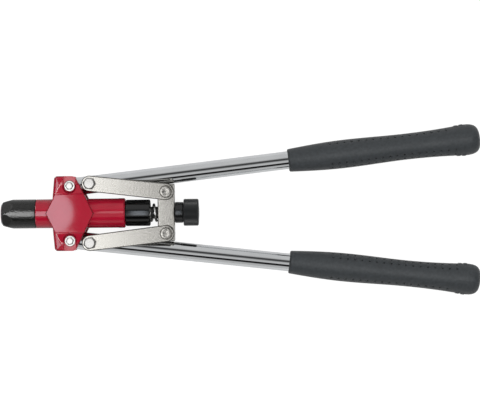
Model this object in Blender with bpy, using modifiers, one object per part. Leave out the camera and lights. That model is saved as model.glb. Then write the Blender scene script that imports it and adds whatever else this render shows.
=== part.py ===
"""Long-arm hand riveter: two levers draw a crosshead and its hollow spindle through a cast body.

The tool lies on its back along X with the nose at -X. X is counted from the line of the two
lever pivots, Y spreads the levers, and Z is counted from the bench, under the body's back face.
"""

import math

import bmesh
import bpy
from mathutils import Matrix

MM = 0.001

# Fits between neighbours
SEAT_GAP = 0.3 * MM
RUNNING_GAP = 0.4 * MM
OPEN_PIVOT_GAP = 0.95 * MM
STOP_GAP = 0.4 * MM

# Cast body
BODY_HALF_DEPTH = 15.5 * MM
EAR_HALF_DEPTH = 12.6 * MM
EAR_HALF_HEIGHT = 33.5 * MM
EAR_FRONT = 14.5 * MM
EAR_EDGE = 2.4 * MM
EAR_CORNER = 4.5 * MM
DIAMOND_HALF_WIDTH = 21.5 * MM
DIAMOND_ANGLE = math.radians(63.8)
DIAMOND_EDGE = 0.9 * MM
DIAMOND_PROUD = 0.25 * MM
PLATEAU_HALF_HEIGHT = 17.4 * MM
SHOULDER_WIDTH = 8.8 * MM
COLLAR_RADIUS = 13.0 * MM
COLLAR_REACH = 31.0 * MM
REAR_TUBE_RADIUS = 13.35 * MM
REAR_TUBE_REACH = 49.0 * MM
REAR_TUBE_EDGE = 0.9 * MM
CHEEK_WALL = 2.5 * MM
POCKET_RADIUS = 6.2 * MM

# Nose
NOSE_RADIUS = 13.0 * MM
NOSE_LENGTH = 31.0 * MM
NOSE_SPIGOT_RADIUS = 10.4 * MM
NOSE_SPIGOT_LENGTH = 13.0 * MM
TIP_LENGTH = 10.4 * MM
TIP_HALF_FLATS = 10.0 * MM
TIP_FACE_RADIUS = 8.4 * MM
TIP_CHAMFER = 2.9 * MM
TIP_WALL = 12.0 * MM
NOSEPIECE_RADIUS = 6.0 * MM
NOSEPIECE_RECESS = 0.3 * MM
NOSEPIECE_BORE = 2.15 * MM
NOSEPIECE_FUNNEL = 3.2 * MM
NOSEPIECE_FUNNEL_DEPTH = 1.2 * MM
NOSEPIECE_CONE = 4.2 * MM
NOSEPIECE_CONE_RADIUS = 3.8 * MM

# Draw spindle with its jaws
SPINDLE_RADIUS = 5.4 * MM
SPINDLE_TAIL_RADIUS = 4.7 * MM
SPINDLE_BORE = 3.0 * MM
SPINDLE_HEAD_RADIUS = 6.9 * MM
SPINDLE_HEAD_LENGTH = 5.7 * MM
SPINDLE_FRONT = 20.0 * MM
JAW_CASE_RADIUS = 8.75 * MM
JAW_CASE_LENGTH = 27.2 * MM
JAW_CASE_MOUTH = 4.6 * MM
JAW_LENGTH = 11.2 * MM
JAW_BORE = 1.9 * MM
JAW_SPLIT = 0.5 * MM
JAW_COUNT = 3
PUSHER_RADIUS = 6.6 * MM
PUSHER_FLANGE = 2.6 * MM
PUSHER_STEM_RADIUS = 4.2 * MM
PUSHER_LENGTH = 7.2 * MM
JAW_SPRING_WIRE = 1.0 * MM
JAW_SPRING_RADIUS = 5.5 * MM
JAW_SPRING_TURNS = 3.0

# Levers
PIVOT_HALF_SPACING = 24.6 * MM
LEVER_ANGLE = math.radians(6.53)
LEVER_OFFSET = 0.95 * MM
LEVER_FRONT = 6.5 * MM
LEVER_RADIUS = 8.0 * MM
LEVER_WALL = 2.0 * MM
BUSH_RADIUS = 4.7 * MM
GRIP_START = 197.0 * MM
GRIP_CHAMFER = 1.2 * MM
GRIP_FRONT_RADIUS = 10.4 * MM
GRIP_BELLY_RADIUS = 12.9 * MM
GRIP_BELLY_REACH = 51.0 * MM
GRIP_WAIST_RADIUS = 11.7 * MM
GRIP_WAIST_REACH = 107.0 * MM
GRIP_FLARE_RADIUS = 13.9 * MM
GRIP_FLARE_REACH = 159.0 * MM
GRIP_END_REACH = 14.0 * MM
GRIP_OVAL = 1.1 * MM
GRIP_DRIFT = 1.8 * MM
GRIP_END_FLAT = 2.5 * MM
GRIP_END_WALL = 23.0 * MM
GRIP_END_ROUNDNESS = 2.6

# Links and crosshead
LINK_CRANK = 17.8 * MM
LINK_THICKNESS = 3.5 * MM
LINK_FRONT_EYE = 6.65 * MM
LINK_REAR_EYE = 7.1 * MM
CROSSHEAD_CENTRE = 85.8 * MM
CROSSHEAD_WIDTH = 15.0 * MM
CROSSHEAD_HALF_DEPTH = 8.0 * MM
CROSSHEAD_EDGE = 1.2 * MM
PIN_HALF_SPACING = 18.7 * MM
PIN_RADIUS = 4.0 * MM
PIN_HEAD_RADIUS = 5.85 * MM
PIN_HEAD_HEIGHT = 0.8 * MM
PIN_BUTTON_RADIUS = 4.6 * MM
PIN_BUTTON_HEIGHT = 0.6 * MM
PIN_GROOVE_RADIUS = 3.2 * MM
PIN_TAIL = 0.9 * MM
RING_RADIUS = 5.6 * MM
RING_THICKNESS = 1.0 * MM

# Fasteners
LINK_BOLT_RADIUS = 3.0 * MM
LINK_HEX_FLATS = 10.0 * MM
LINK_HEAD_HEIGHT = 4.0 * MM
LINK_NUT_HEIGHT = 3.0 * MM
PIVOT_BOLT_RADIUS = 3.0 * MM
PIVOT_FLANGE_RADIUS = 4.75 * MM
PIVOT_FLANGE_HEIGHT = 1.3 * MM
PIVOT_HEX_FLATS = 6.2 * MM
PIVOT_HEAD_HEIGHT = 2.8 * MM
PIVOT_NUT_FLATS = 10.0 * MM
PIVOT_NUT_HEIGHT = 3.2 * MM
HEX_TURN = {"upper": 0.0, "lower": math.radians(8.0)}

# Stop sleeve, return spring and rear knob
SLEEVE_RADIUS = 11.85 * MM
SLEEVE_LENGTH = 22.1 * MM
SLEEVE_SPIGOT_RADIUS = 10.0 * MM
SLEEVE_SPIGOT_LENGTH = 16.0 * MM
SLEEVE_EDGE = 0.8 * MM
SPRING_SEAT_DEPTH = 19.4 * MM
SPRING_RADIUS = 7.15 * MM
SPRING_WIRE = 2.4 * MM
SPRING_TURNS = 6.0
SPRING_END_PITCH = 2.95 * MM
SPRING_POINTS_PER_TURN = 10
COLLAR_NUT_RADIUS = 9.2 * MM
COLLAR_NUT_LENGTH = 8.8 * MM
COLLAR_NUT_EDGE = 0.6 * MM
KNOB_RADIUS = 11.9 * MM
KNOB_LENGTH = 12.6 * MM
KNOB_EDGE = 2.0 * MM
KNOB_DOME = 0.5 * MM
KNOB_END_WALL = 2.4 * MM
KNOB_BORE_FUNNEL = 0.6 * MM

# Facets
LARGE_ROUND_STEPS = 40
MEDIUM_ROUND_STEPS = 28
SMALL_ROUND_STEPS = 20
EDGE_STEPS = 2
CORNER_STEPS = 4
RIM_STEPS = 3
HEX_SIDES = 6
GRIP_STEPS = 14
GRIP_END_STEPS = 5
SMOOTH_ANGLE = math.radians(35.0)
FLAT_ANGLE = math.radians(0.2)
TURN_MERGE = 0.00001
WELD = 0.000001

# Places that follow from the sizes
SIDES = {"upper": 1.0, "lower": -1.0}
LINK_INNER = LEVER_RADIUS + SEAT_GAP
LINK_OUTER = LINK_INNER + LINK_THICKNESS
POCKET_FLOOR = LINK_INNER + CHEEK_WALL
LEVER_SWEEP = math.hypot(LEVER_FRONT, LEVER_RADIUS + LEVER_OFFSET) + RUNNING_GAP
GRIP_LENGTH = GRIP_FLARE_REACH + GRIP_END_REACH
LEVER_IN_GRIP = GRIP_LENGTH - GRIP_END_WALL
NOSE_BACK = -COLLAR_REACH - SEAT_GAP
NOSE_TIP = NOSE_BACK - NOSE_LENGTH
JAW_CASE_BACK = SPINDLE_HEAD_LENGTH - SPINDLE_FRONT + SEAT_GAP
JAW_CASE_FRONT = JAW_CASE_BACK - JAW_CASE_LENGTH
JAW_CASE_BORE = SPINDLE_HEAD_RADIUS + SEAT_GAP
JAW_CASE_CLEAR = JAW_CASE_RADIUS + RUNNING_GAP
SPINDLE_CLEAR = SPINDLE_RADIUS + RUNNING_GAP
TAIL_CLEAR = SPINDLE_TAIL_RADIUS + SEAT_GAP
SLEEVE_FRONT = REAR_TUBE_REACH + SEAT_GAP
SLEEVE_BACK = SLEEVE_FRONT + SLEEVE_LENGTH
CROSSHEAD_FRONT = CROSSHEAD_CENTRE - CROSSHEAD_WIDTH / 2
CROSSHEAD_BACK = CROSSHEAD_CENTRE + CROSSHEAD_WIDTH / 2
NUT_FRONT = CROSSHEAD_BACK + SEAT_GAP
NUT_BACK = NUT_FRONT + COLLAR_NUT_LENGTH
KNOB_FRONT = NUT_BACK + SEAT_GAP
KNOB_BACK = KNOB_FRONT + KNOB_LENGTH
AXIAL = Matrix.Rotation(math.pi / 2, 4, "Y")


# Scene, finishes and placing


def clear_scene():
    """Empties the file, so that the script gives the same object each time it runs."""
    for old in list(bpy.data.objects):
        bpy.data.objects.remove(old, do_unlink=True)


def new_collection(name):
    """A collection of its own under the scene."""
    made = bpy.data.collections.new(name)
    bpy.context.scene.collection.children.link(made)
    return made


def finish(name, colour, roughness, metallic):
    """A plain surface with one colour."""
    made = bpy.data.materials.new(name)
    made.use_nodes = True
    shader = made.node_tree.nodes["Principled BSDF"]
    shader.inputs["Base Color"].default_value = (*colour, 1.0)
    shader.inputs["Roughness"].default_value = roughness
    shader.inputs["Metallic"].default_value = metallic
    return made


class Workshop:
    """The collections, finishes and axes that the pieces are hung on."""

    def __init__(self):
        self.parts = new_collection("hand_riveter")
        self.cutters = new_collection("hand_riveter_cutters")
        self.red = finish("red_paint", (0.45, 0.014, 0.034), 0.3, 0.0)
        self.black_steel = finish("black_steel", (0.02, 0.02, 0.022), 0.35, 0.8)
        self.bright_steel = finish("bright_steel", (0.62, 0.62, 0.63), 0.25, 1.0)
        self.chrome = finish("chrome", (0.78, 0.79, 0.8), 0.08, 1.0)
        self.nickel = finish("satin_nickel", (0.52, 0.51, 0.5), 0.4, 1.0)
        self.bronze = finish("bronze", (0.5, 0.32, 0.14), 0.4, 1.0)
        self.rubber = finish("grey_rubber", (0.055, 0.06, 0.063), 0.6, 0.0)
        self.plastic = finish("black_plastic", (0.015, 0.015, 0.016), 0.5, 0.0)

    def axis(self, name, parent, placement):
        """An empty on a joint's axis, which carries that joint's pieces."""
        made = bpy.data.objects.new(name, None)
        made.empty_display_size = LEVER_RADIUS
        self.parts.objects.link(made)
        made.parent = parent
        made.matrix_local = placement
        return made

    def piece(self, name, mesh, parent, surface, placement=None):
        """A named piece of the tool."""
        made = bpy.data.objects.new(name, mesh)
        self.parts.objects.link(made)
        self.place(made, parent, placement)
        mesh.materials.append(surface)
        return made

    def helper(self, name, mesh, parent, placement=None):
        """A solid that only cuts or joins another."""
        made = bpy.data.objects.new(name, mesh)
        self.cutters.objects.link(made)
        self.place(made, parent, placement)
        made.hide_render = True
        made.display_type = "WIRE"
        return made

    def place(self, made, parent, placement):
        """Hangs an object on its axis."""
        made.parent = parent
        if placement is not None:
            made.matrix_local = placement


def moved(x=0.0, y=0.0, z=0.0):
    """A placement by a shift alone."""
    return Matrix.Translation((x, y, z))


# Shapes


def tidy(mesh):
    """Welds a mesh's loose seams and shades it smooth between its sharp edges."""
    work = bmesh.new()
    work.from_mesh(mesh)
    bmesh.ops.remove_doubles(work, verts=work.verts, dist=WELD)
    bmesh.ops.dissolve_limit(work, angle_limit=FLAT_ANGLE, verts=work.verts, edges=work.edges)
    bmesh.ops.recalc_face_normals(work, faces=work.faces)
    work.to_mesh(mesh)
    work.free()
    mesh.shade_smooth()
    mesh.set_sharp_from_angle(angle=SMOOTH_ANGLE)
    return mesh


def profile(name, outline):
    """A half section of (along, radius) points: down its outer side, and a ring back up its bore."""
    mesh = bpy.data.meshes.new(name)
    points = [(radius, 0.0, along) for along, radius in outline]
    edges = [(n, n + 1) for n in range(len(points) - 1)]
    if outline[0][1] > 0:
        edges.append((len(points) - 1, 0))
    mesh.from_pydata(points, edges, [])
    return mesh


def turn(piece, steps):
    """Turns a half section about its own Z axis."""
    screw = piece.modifiers.new("Turn", "SCREW")
    screw.steps = steps
    screw.render_steps = steps
    screw.use_merge_vertices = True
    screw.merge_threshold = TURN_MERGE
    screw.use_smooth_shade = True
    return piece


def evaluated_mesh(guide):
    """The mesh of a guide curve, which is then removed."""
    graph = bpy.context.evaluated_depsgraph_get()
    mesh = bpy.data.meshes.new_from_object(guide.evaluated_get(graph))
    bpy.data.objects.remove(guide)
    return tidy(mesh)


def plate(name, loops, half_thickness):
    """A flat outline, with its holes, of equal thickness to both sides of its plane."""
    curve = bpy.data.curves.new(name, "CURVE")
    curve.dimensions = "2D"
    curve.fill_mode = "BOTH"
    curve.extrude = half_thickness
    for loop in loops:
        spline = curve.splines.new("POLY")
        spline.points.add(len(loop) - 1)
        for point, (x, y) in zip(spline.points, loop):
            point.co = (x, y, 0.0, 1.0)
        spline.use_cyclic_u = True
    guide = bpy.data.objects.new(name, curve)
    bpy.context.scene.collection.objects.link(guide)
    return evaluated_mesh(guide)


def wire(name, path, radius):
    """A round wire along a path."""
    curve = bpy.data.curves.new(name, "CURVE")
    curve.dimensions = "3D"
    curve.bevel_depth = radius
    curve.bevel_resolution = 1
    curve.use_fill_caps = True
    spline = curve.splines.new("POLY")
    spline.points.add(len(path) - 1)
    for point, place in zip(spline.points, path):
        point.co = (*place, 1.0)
    guide = bpy.data.objects.new(name, curve)
    bpy.context.scene.collection.objects.link(guide)
    return evaluated_mesh(guide)


def box(name, low, high):
    """A box between two corners."""
    work = bmesh.new()
    bmesh.ops.create_cube(work, size=1.0)
    for vert in work.verts:
        vert.co = [a + (b - a) * (c + 0.5) for a, b, c in zip(low, high, vert.co)]
    mesh = bpy.data.meshes.new(name)
    work.to_mesh(mesh)
    work.free()
    return mesh


def rod(name, radius, half_length, steps):
    """A cylinder about Z."""
    return cone(name, radius, radius, half_length, steps)


def cone(name, low_radius, high_radius, half_length, steps):
    """A cone or a pyramid about Z."""
    work = bmesh.new()
    bmesh.ops.create_cone(
        work,
        cap_ends=True,
        segments=steps,
        radius1=low_radius,
        radius2=high_radius,
        depth=2 * half_length,
    )
    mesh = bpy.data.meshes.new(name)
    work.to_mesh(mesh)
    work.free()
    return mesh


def lofted(name, sections):
    """A solid through closed sections with equally many points."""
    work = bmesh.new()
    rings = [[work.verts.new(point) for point in section] for section in sections]
    for ring, following in zip(rings, rings[1:]):
        for n in range(len(ring)):
            work.faces.new((ring[n - 1], ring[n], following[n], following[n - 1]))
    work.faces.new(rings[0])
    work.faces.new(rings[-1])
    mesh = bpy.data.meshes.new(name)
    work.to_mesh(mesh)
    work.free()
    return tidy(mesh)


def combine(piece, other, operation, solver="EXACT"):
    """Joins, cuts or limits a piece by another solid."""
    step = piece.modifiers.new(other.name, "BOOLEAN")
    step.operation = operation
    step.solver = solver
    step.object = other


def round_edges(piece, width):
    """Rounds the sharp edges of a piece."""
    edge = piece.modifiers.new("Edges", "BEVEL")
    edge.width = width
    edge.segments = EDGE_STEPS
    edge.limit_method = "ANGLE"
    edge.angle_limit = SMOOTH_ANGLE


def arc(centre, radius, start, end, steps):
    """Points along an arc, from one angle to another."""
    angles = [start + (end - start) * n / steps for n in range(steps + 1)]
    return [
        (centre[0] + radius * math.cos(a), centre[1] + radius * math.sin(a)) for a in angles
    ]


def circle(centre, radius, steps):
    """Points round a circle."""
    return arc(centre, radius, 0.0, 2 * math.pi, steps)[:-1]


def hexagon(flats, turned_by):
    """A hexagon with two flats along X before it is turned."""
    corner = flats / math.sqrt(3.0)
    return arc((0.0, 0.0), corner, turned_by, turned_by + 2 * math.pi, HEX_SIDES)[:-1]


def fillet(before, corner, after, radius, steps):
    """Points that round a corner between two straight sides."""
    into = math.atan2(before[1] - corner[1], before[0] - corner[0])
    out = math.atan2(after[1] - corner[1], after[0] - corner[0])
    half = math.remainder(out - into, 2 * math.pi) / 2
    reach = radius / abs(math.sin(half))
    middle = into + half
    centre = (corner[0] + reach * math.cos(middle), corner[1] + reach * math.sin(middle))
    swing = math.copysign(math.pi / 2 - abs(half), half)
    return arc(centre, radius, middle + math.pi + swing, middle + math.pi - swing, steps)


# Cast body


def diamond_edge(height):
    """How far the diamond's side lies from its middle at a height across the tool."""
    return DIAMOND_HALF_WIDTH - height / math.tan(DIAMOND_ANGLE)


def ear_outline():
    """Both ears: square at the front, along the diamond behind, with rounded rear corners."""
    top = EAR_HALF_HEIGHT
    point = (DIAMOND_HALF_WIDTH - DIAMOND_PROUD, 0.0)
    end = diamond_edge(EAR_HALF_HEIGHT) - DIAMOND_PROUD
    upper = fillet(point, (end, top), (-EAR_FRONT, top), EAR_CORNER, CORNER_STEPS)
    lower = fillet((-EAR_FRONT, -top), (end, -top), point, EAR_CORNER, CORNER_STEPS)
    return [point] + upper + [(-EAR_FRONT, top), (-EAR_FRONT, -top)] + lower


def diamond_outline():
    """The raised diamond, which stops short of the ears' rounded corners."""
    top = EAR_HALF_HEIGHT - EAR_CORNER
    end = diamond_edge(top)
    half = [(DIAMOND_HALF_WIDTH, 0.0), (end, top), (-end, top)]
    return half + [(-x, -y) for x, y in half]


def roof_outline():
    """The body's side view: a plateau on the front and back, falling by a shoulder to each ear."""
    ear = EAR_HALF_DEPTH + DIAMOND_PROUD
    foot = PLATEAU_HALF_HEIGHT + SHOULDER_WIDTH
    end = EAR_HALF_HEIGHT + EAR_CORNER
    quarter = [(end, ear), (foot, ear), (PLATEAU_HALF_HEIGHT, BODY_HALF_DEPTH)]
    top = quarter + [(-y, z) for y, z in reversed(quarter)]
    return top + [(y, -z) for y, z in reversed(top)]


def body_bore():
    """The stepped bore through the body: nose spigot, jaw case, spindle, and the sleeve's thread."""
    spigot = NOSE_SPIGOT_RADIUS + SEAT_GAP
    thread = SLEEVE_SPIGOT_RADIUS + SEAT_GAP
    rear = REAR_TUBE_REACH + EAR_EDGE
    front = -COLLAR_REACH - EAR_EDGE
    spigot_end = NOSE_BACK + NOSE_SPIGOT_LENGTH + SEAT_GAP
    case_end = JAW_CASE_BACK + RUNNING_GAP
    thread_end = SLEEVE_FRONT - SLEEVE_SPIGOT_LENGTH - SEAT_GAP
    return [
        (rear, 0.0),
        (rear, thread),
        (thread_end, thread),
        (thread_end, SPINDLE_CLEAR),
        (case_end, SPINDLE_CLEAR),
        (case_end, JAW_CASE_CLEAR),
        (spigot_end, JAW_CASE_CLEAR),
        (spigot_end, spigot),
        (front, spigot),
        (front, 0.0),
    ]


def pocket_outline(side):
    """A spot face round a lever pivot, open towards the ear's end."""
    far = side * (EAR_HALF_HEIGHT - PIVOT_HALF_SPACING + EAR_CORNER)
    bowl = arc((0.0, 0.0), POCKET_RADIUS, 0.0, -side * math.pi, SMALL_ROUND_STEPS // 2)
    return [(POCKET_RADIUS, far)] + bowl + [(-POCKET_RADIUS, far)]


def make_body(shop, tool):
    """The red casting: ears and diamond joined to the front collar and the rear tube."""
    ears = plate("main_body", [ear_outline()], EAR_HALF_DEPTH)
    body = shop.piece("main_body", ears, tool, shop.red)
    round_edges(body, EAR_EDGE)

    diamond = plate("diamond", [diamond_outline()], 2 * BODY_HALF_DEPTH)
    diamond = shop.helper("diamond", diamond, tool)
    roof = plate("roof", [roof_outline()], 2 * DIAMOND_HALF_WIDTH)
    across = Matrix.Rotation(math.pi / 2, 4, "Z") @ Matrix.Rotation(math.pi / 2, 4, "X")
    combine(diamond, shop.helper("roof", roof, tool, across), "INTERSECT")
    round_edges(diamond, DIAMOND_EDGE)
    combine(body, diamond, "UNION", "MANIFOLD")

    collar = rod("collar", COLLAR_RADIUS, COLLAR_REACH / 2, LARGE_ROUND_STEPS)
    collar = shop.helper("collar", collar, tool, moved(x=-COLLAR_REACH / 2) @ AXIAL)
    combine(body, collar, "UNION", "MANIFOLD")
    outline = [
        (REAR_TUBE_REACH, 0.0),
        (REAR_TUBE_REACH, REAR_TUBE_RADIUS - REAR_TUBE_EDGE),
        (REAR_TUBE_REACH - REAR_TUBE_EDGE, REAR_TUBE_RADIUS),
        (0.0, REAR_TUBE_RADIUS),
        (0.0, 0.0),
    ]
    tube = shop.helper("rear_tube", profile("rear_tube", outline), tool, AXIAL)
    combine(body, turn(tube, LARGE_ROUND_STEPS), "UNION", "MANIFOLD")

    bore = shop.helper("body_bore", profile("body_bore", body_bore()), tool, AXIAL)
    combine(body, turn(bore, LARGE_ROUND_STEPS), "DIFFERENCE", "MANIFOLD")
    for name, side in SIDES.items():
        pivot = moved(y=side * PIVOT_HALF_SPACING)
        floor = -side * LEVER_SWEEP
        far = side * EAR_HALF_HEIGHT
        slot = box(
            name + "_slot",
            (-LEVER_SWEEP, min(floor, far), -LINK_INNER),
            (2 * DIAMOND_HALF_WIDTH, max(floor, far), LINK_INNER),
        )
        combine(body, shop.helper(name + "_slot", slot, tool, pivot), "DIFFERENCE", "MANIFOLD")
        label = name + "_pivot_hole"
        hole = rod(label, PIVOT_BOLT_RADIUS + SEAT_GAP, 2 * BODY_HALF_DEPTH, SMALL_ROUND_STEPS)
        combine(body, shop.helper(label, hole, tool, pivot), "DIFFERENCE", "MANIFOLD")
        half_cut = (BODY_HALF_DEPTH - POCKET_FLOOR) / 2 + SEAT_GAP
        for face, sign in (("front", 1.0), ("back", -1.0)):
            pocket = plate(f"{name}_{face}_pocket", [pocket_outline(side)], half_cut)
            level = pivot @ moved(z=sign * (POCKET_FLOOR + half_cut))
            combine(body, shop.helper(pocket.name, pocket, tool, level), "DIFFERENCE", "MANIFOLD")


# Nose


def make_nose(shop, tool):
    """The black nose, turned with a chamfered tip, flattened there to six sides, and its nosepiece."""
    spigot_end = NOSE_BACK + NOSE_SPIGOT_LENGTH
    thread = NOSEPIECE_RADIUS + SEAT_GAP
    outline = [
        (spigot_end, NOSE_SPIGOT_RADIUS),
        (NOSE_BACK, NOSE_SPIGOT_RADIUS),
        (NOSE_BACK, NOSE_RADIUS),
        (NOSE_TIP + TIP_CHAMFER, NOSE_RADIUS),
        (NOSE_TIP, TIP_FACE_RADIUS),
        (NOSE_TIP, thread),
        (NOSE_TIP + TIP_WALL, thread),
        (NOSE_TIP + TIP_WALL, JAW_CASE_CLEAR),
        (spigot_end, JAW_CASE_CLEAR),
    ]
    nose = shop.piece("nose_casing", profile("nose_casing", outline), tool, shop.black_steel, AXIAL)
    turn(nose, LARGE_ROUND_STEPS)

    # The six flats run out where they reach the nose's full radius.
    rate = (NOSE_RADIUS - TIP_HALF_FLATS) / TIP_LENGTH
    behind = NOSE_LENGTH + NOSE_SPIGOT_LENGTH + TIP_LENGTH
    low = TIP_HALF_FLATS - rate * TIP_LENGTH
    high = TIP_HALF_FLATS + rate * behind
    to_corner = 2 / math.sqrt(3.0)
    half = (behind + TIP_LENGTH) / 2
    flats = cone("tip_flats", low * to_corner, high * to_corner, half, HEX_SIDES)
    middle = NOSE_TIP - TIP_LENGTH + half
    corner_up = moved(x=middle) @ AXIAL @ Matrix.Rotation(math.pi / 2, 4, "Z")
    combine(nose, shop.helper("tip_flats", flats, tool, corner_up), "INTERSECT")

    front = NOSE_TIP + NOSEPIECE_RECESS
    back = NOSE_TIP + TIP_WALL + NOSEPIECE_CONE
    outline = [
        (back, NOSEPIECE_CONE_RADIUS),
        (back - NOSEPIECE_CONE, NOSEPIECE_RADIUS),
        (front, NOSEPIECE_RADIUS),
        (front, NOSEPIECE_FUNNEL),
        (front + NOSEPIECE_FUNNEL_DEPTH, NOSEPIECE_BORE),
        (back, NOSEPIECE_BORE),
    ]
    nosepiece = profile("nosepiece", outline)
    turn(shop.piece("nosepiece", nosepiece, tool, shop.bright_steel, AXIAL), MEDIUM_ROUND_STEPS)


# Draw spindle and jaws


def jaw_cone(along):
    """The radius of the jaw case's inner cone at a place along the tool."""
    share = (along - JAW_CASE_FRONT) / JAW_LENGTH
    return JAW_CASE_MOUTH + (JAW_CASE_BORE - JAW_CASE_MOUTH) * share


def make_jaws(shop, spindle):
    """The jaw case with its three jaws, their pusher and the pusher's spring."""
    cone_end = JAW_CASE_FRONT + JAW_LENGTH
    outline = [
        (JAW_CASE_BACK, JAW_CASE_RADIUS),
        (JAW_CASE_FRONT, JAW_CASE_RADIUS),
        (JAW_CASE_FRONT, JAW_CASE_MOUTH),
        (cone_end, JAW_CASE_BORE),
        (JAW_CASE_BACK, JAW_CASE_BORE),
    ]
    case = shop.piece("jaw_case", profile("jaw_case", outline), spindle, shop.black_steel, AXIAL)
    turn(case, MEDIUM_ROUND_STEPS)

    front = JAW_CASE_FRONT + SEAT_GAP
    back = cone_end - SEAT_GAP
    for n in range(JAW_COUNT):
        name = f"jaw_{n + 1}"
        outline = [
            (back, jaw_cone(back) - RUNNING_GAP),
            (front, jaw_cone(front) - RUNNING_GAP),
            (front, JAW_BORE),
            (back, JAW_BORE),
        ]
        jaw = shop.piece(name, profile(name, outline), spindle, shop.bright_steel, AXIAL)
        turn(jaw, MEDIUM_ROUND_STEPS)
        middle = 2 * math.pi * n / JAW_COUNT
        half = math.pi / JAW_COUNT
        apex = JAW_SPLIT / 2 / math.sin(half)
        reach = 2 * JAW_CASE_RADIUS
        root = (apex * math.cos(middle), apex * math.sin(middle))
        sector = [root] + arc(root, reach, middle - half, middle + half, 2)
        wedge = plate(name + "_sector", [sector], JAW_LENGTH)
        level = moved(x=cone_end - JAW_LENGTH / 2) @ AXIAL
        combine(jaw, shop.helper(wedge.name, wedge, spindle, level), "INTERSECT")

    flange_end = cone_end + PUSHER_FLANGE
    outline = [
        (cone_end + PUSHER_LENGTH, PUSHER_STEM_RADIUS),
        (flange_end, PUSHER_STEM_RADIUS),
        (flange_end, PUSHER_RADIUS),
        (cone_end, PUSHER_RADIUS),
        (cone_end, SPINDLE_BORE),
        (cone_end + PUSHER_LENGTH, SPINDLE_BORE),
    ]
    pusher = profile("jaw_pusher", outline)
    turn(shop.piece("jaw_pusher", pusher, spindle, shop.bright_steel, AXIAL), SMALL_ROUND_STEPS)

    inset = SEAT_GAP + JAW_SPRING_WIRE / 2
    start = flange_end + inset
    end = -SPINDLE_FRONT - inset
    pitch = (end - start) / JAW_SPRING_TURNS
    path = helix(start, end, JAW_SPRING_RADIUS, JAW_SPRING_TURNS, pitch)
    report_gap("jaw_spring", path, JAW_SPRING_WIRE)
    coil = wire("jaw_spring", path, JAW_SPRING_WIRE / 2)
    shop.piece("jaw_spring", coil, spindle, shop.bright_steel, AXIAL)


def make_spindle(shop, spindle):
    """The hollow spindle from the jaw case to the knob, its collar nut and the knob."""
    front = -SPINDLE_FRONT
    head_end = front + SPINDLE_HEAD_LENGTH
    shoulder = CROSSHEAD_FRONT - SEAT_GAP
    tail_end = KNOB_BACK - KNOB_END_WALL - SEAT_GAP
    outline = [
        (tail_end, SPINDLE_TAIL_RADIUS),
        (shoulder, SPINDLE_TAIL_RADIUS),
        (shoulder, SPINDLE_RADIUS),
        (head_end, SPINDLE_RADIUS),
        (head_end, SPINDLE_HEAD_RADIUS),
        (front, SPINDLE_HEAD_RADIUS),
        (front, SPINDLE_BORE),
        (tail_end, SPINDLE_BORE),
    ]
    shaft = profile("draw_spindle", outline)
    turn(shop.piece("draw_spindle", shaft, spindle, shop.bright_steel, AXIAL), MEDIUM_ROUND_STEPS)

    rim = COLLAR_NUT_RADIUS - COLLAR_NUT_EDGE
    outline = [
        (NUT_BACK, rim),
        (NUT_BACK - COLLAR_NUT_EDGE, COLLAR_NUT_RADIUS),
        (NUT_FRONT + COLLAR_NUT_EDGE, COLLAR_NUT_RADIUS),
        (NUT_FRONT, rim),
        (NUT_FRONT, TAIL_CLEAR),
        (NUT_BACK, TAIL_CLEAR),
    ]
    nut = profile("collar_nut", outline)
    turn(shop.piece("collar_nut", nut, spindle, shop.black_steel, AXIAL), LARGE_ROUND_STEPS)

    # The rim is rounded at both ends, and the end face is slightly domed.
    inner = KNOB_RADIUS - KNOB_EDGE
    rear = [(KNOB_BACK - KNOB_DOME - KNOB_EDGE, inner), (KNOB_FRONT + KNOB_EDGE, inner)]
    rear_rim = arc(rear[0], KNOB_EDGE, 0.0, math.pi / 2, RIM_STEPS)
    front_rim = arc(rear[1], KNOB_EDGE, math.pi / 2, math.pi, RIM_STEPS)
    step = KNOB_BACK - KNOB_END_WALL
    mouth = SPINDLE_BORE + KNOB_BORE_FUNNEL
    outline = [(KNOB_BACK, mouth)] + rear_rim + front_rim
    outline += [(KNOB_FRONT, TAIL_CLEAR), (step, TAIL_CLEAR), (step, SPINDLE_BORE)]
    outline += [(KNOB_BACK - KNOB_BORE_FUNNEL, SPINDLE_BORE)]
    knob = profile("rear_knob", outline)
    turn(shop.piece("rear_knob", knob, spindle, shop.plastic, AXIAL), LARGE_ROUND_STEPS)


# Stop sleeve and springs


def helix(start, end, radius, turns, end_pitch):
    """Points along a coil about Z whose first and last turns lie closer than the rest."""
    count = round(turns * SPRING_POINTS_PER_TURN)
    open_turns = turns - 2
    open_pitch = (end - start - 2 * end_pitch) / open_turns
    path = []
    for n in range(count + 1):
        turned_by = turns * n / count
        along = start + end_pitch * min(turned_by, 1.0)
        along += open_pitch * min(max(turned_by - 1.0, 0.0), open_turns)
        along += end_pitch * max(turned_by - 1.0 - open_turns, 0.0)
        angle = 2 * math.pi * turned_by
        path.append((radius * math.cos(angle), radius * math.sin(angle), along))
    return path


def report_gap(name, path, thickness):
    """Prints the least gap between neighbouring turns of a coil."""
    apart = SPRING_POINTS_PER_TURN // 2
    pairs = [(a, b) for n, a in enumerate(path) for b in path[n + apart :]]
    gap = min(math.dist(a, b) for a, b in pairs) - thickness
    print(f"{name}: least gap to itself {gap / MM:.2f} mm")


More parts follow.
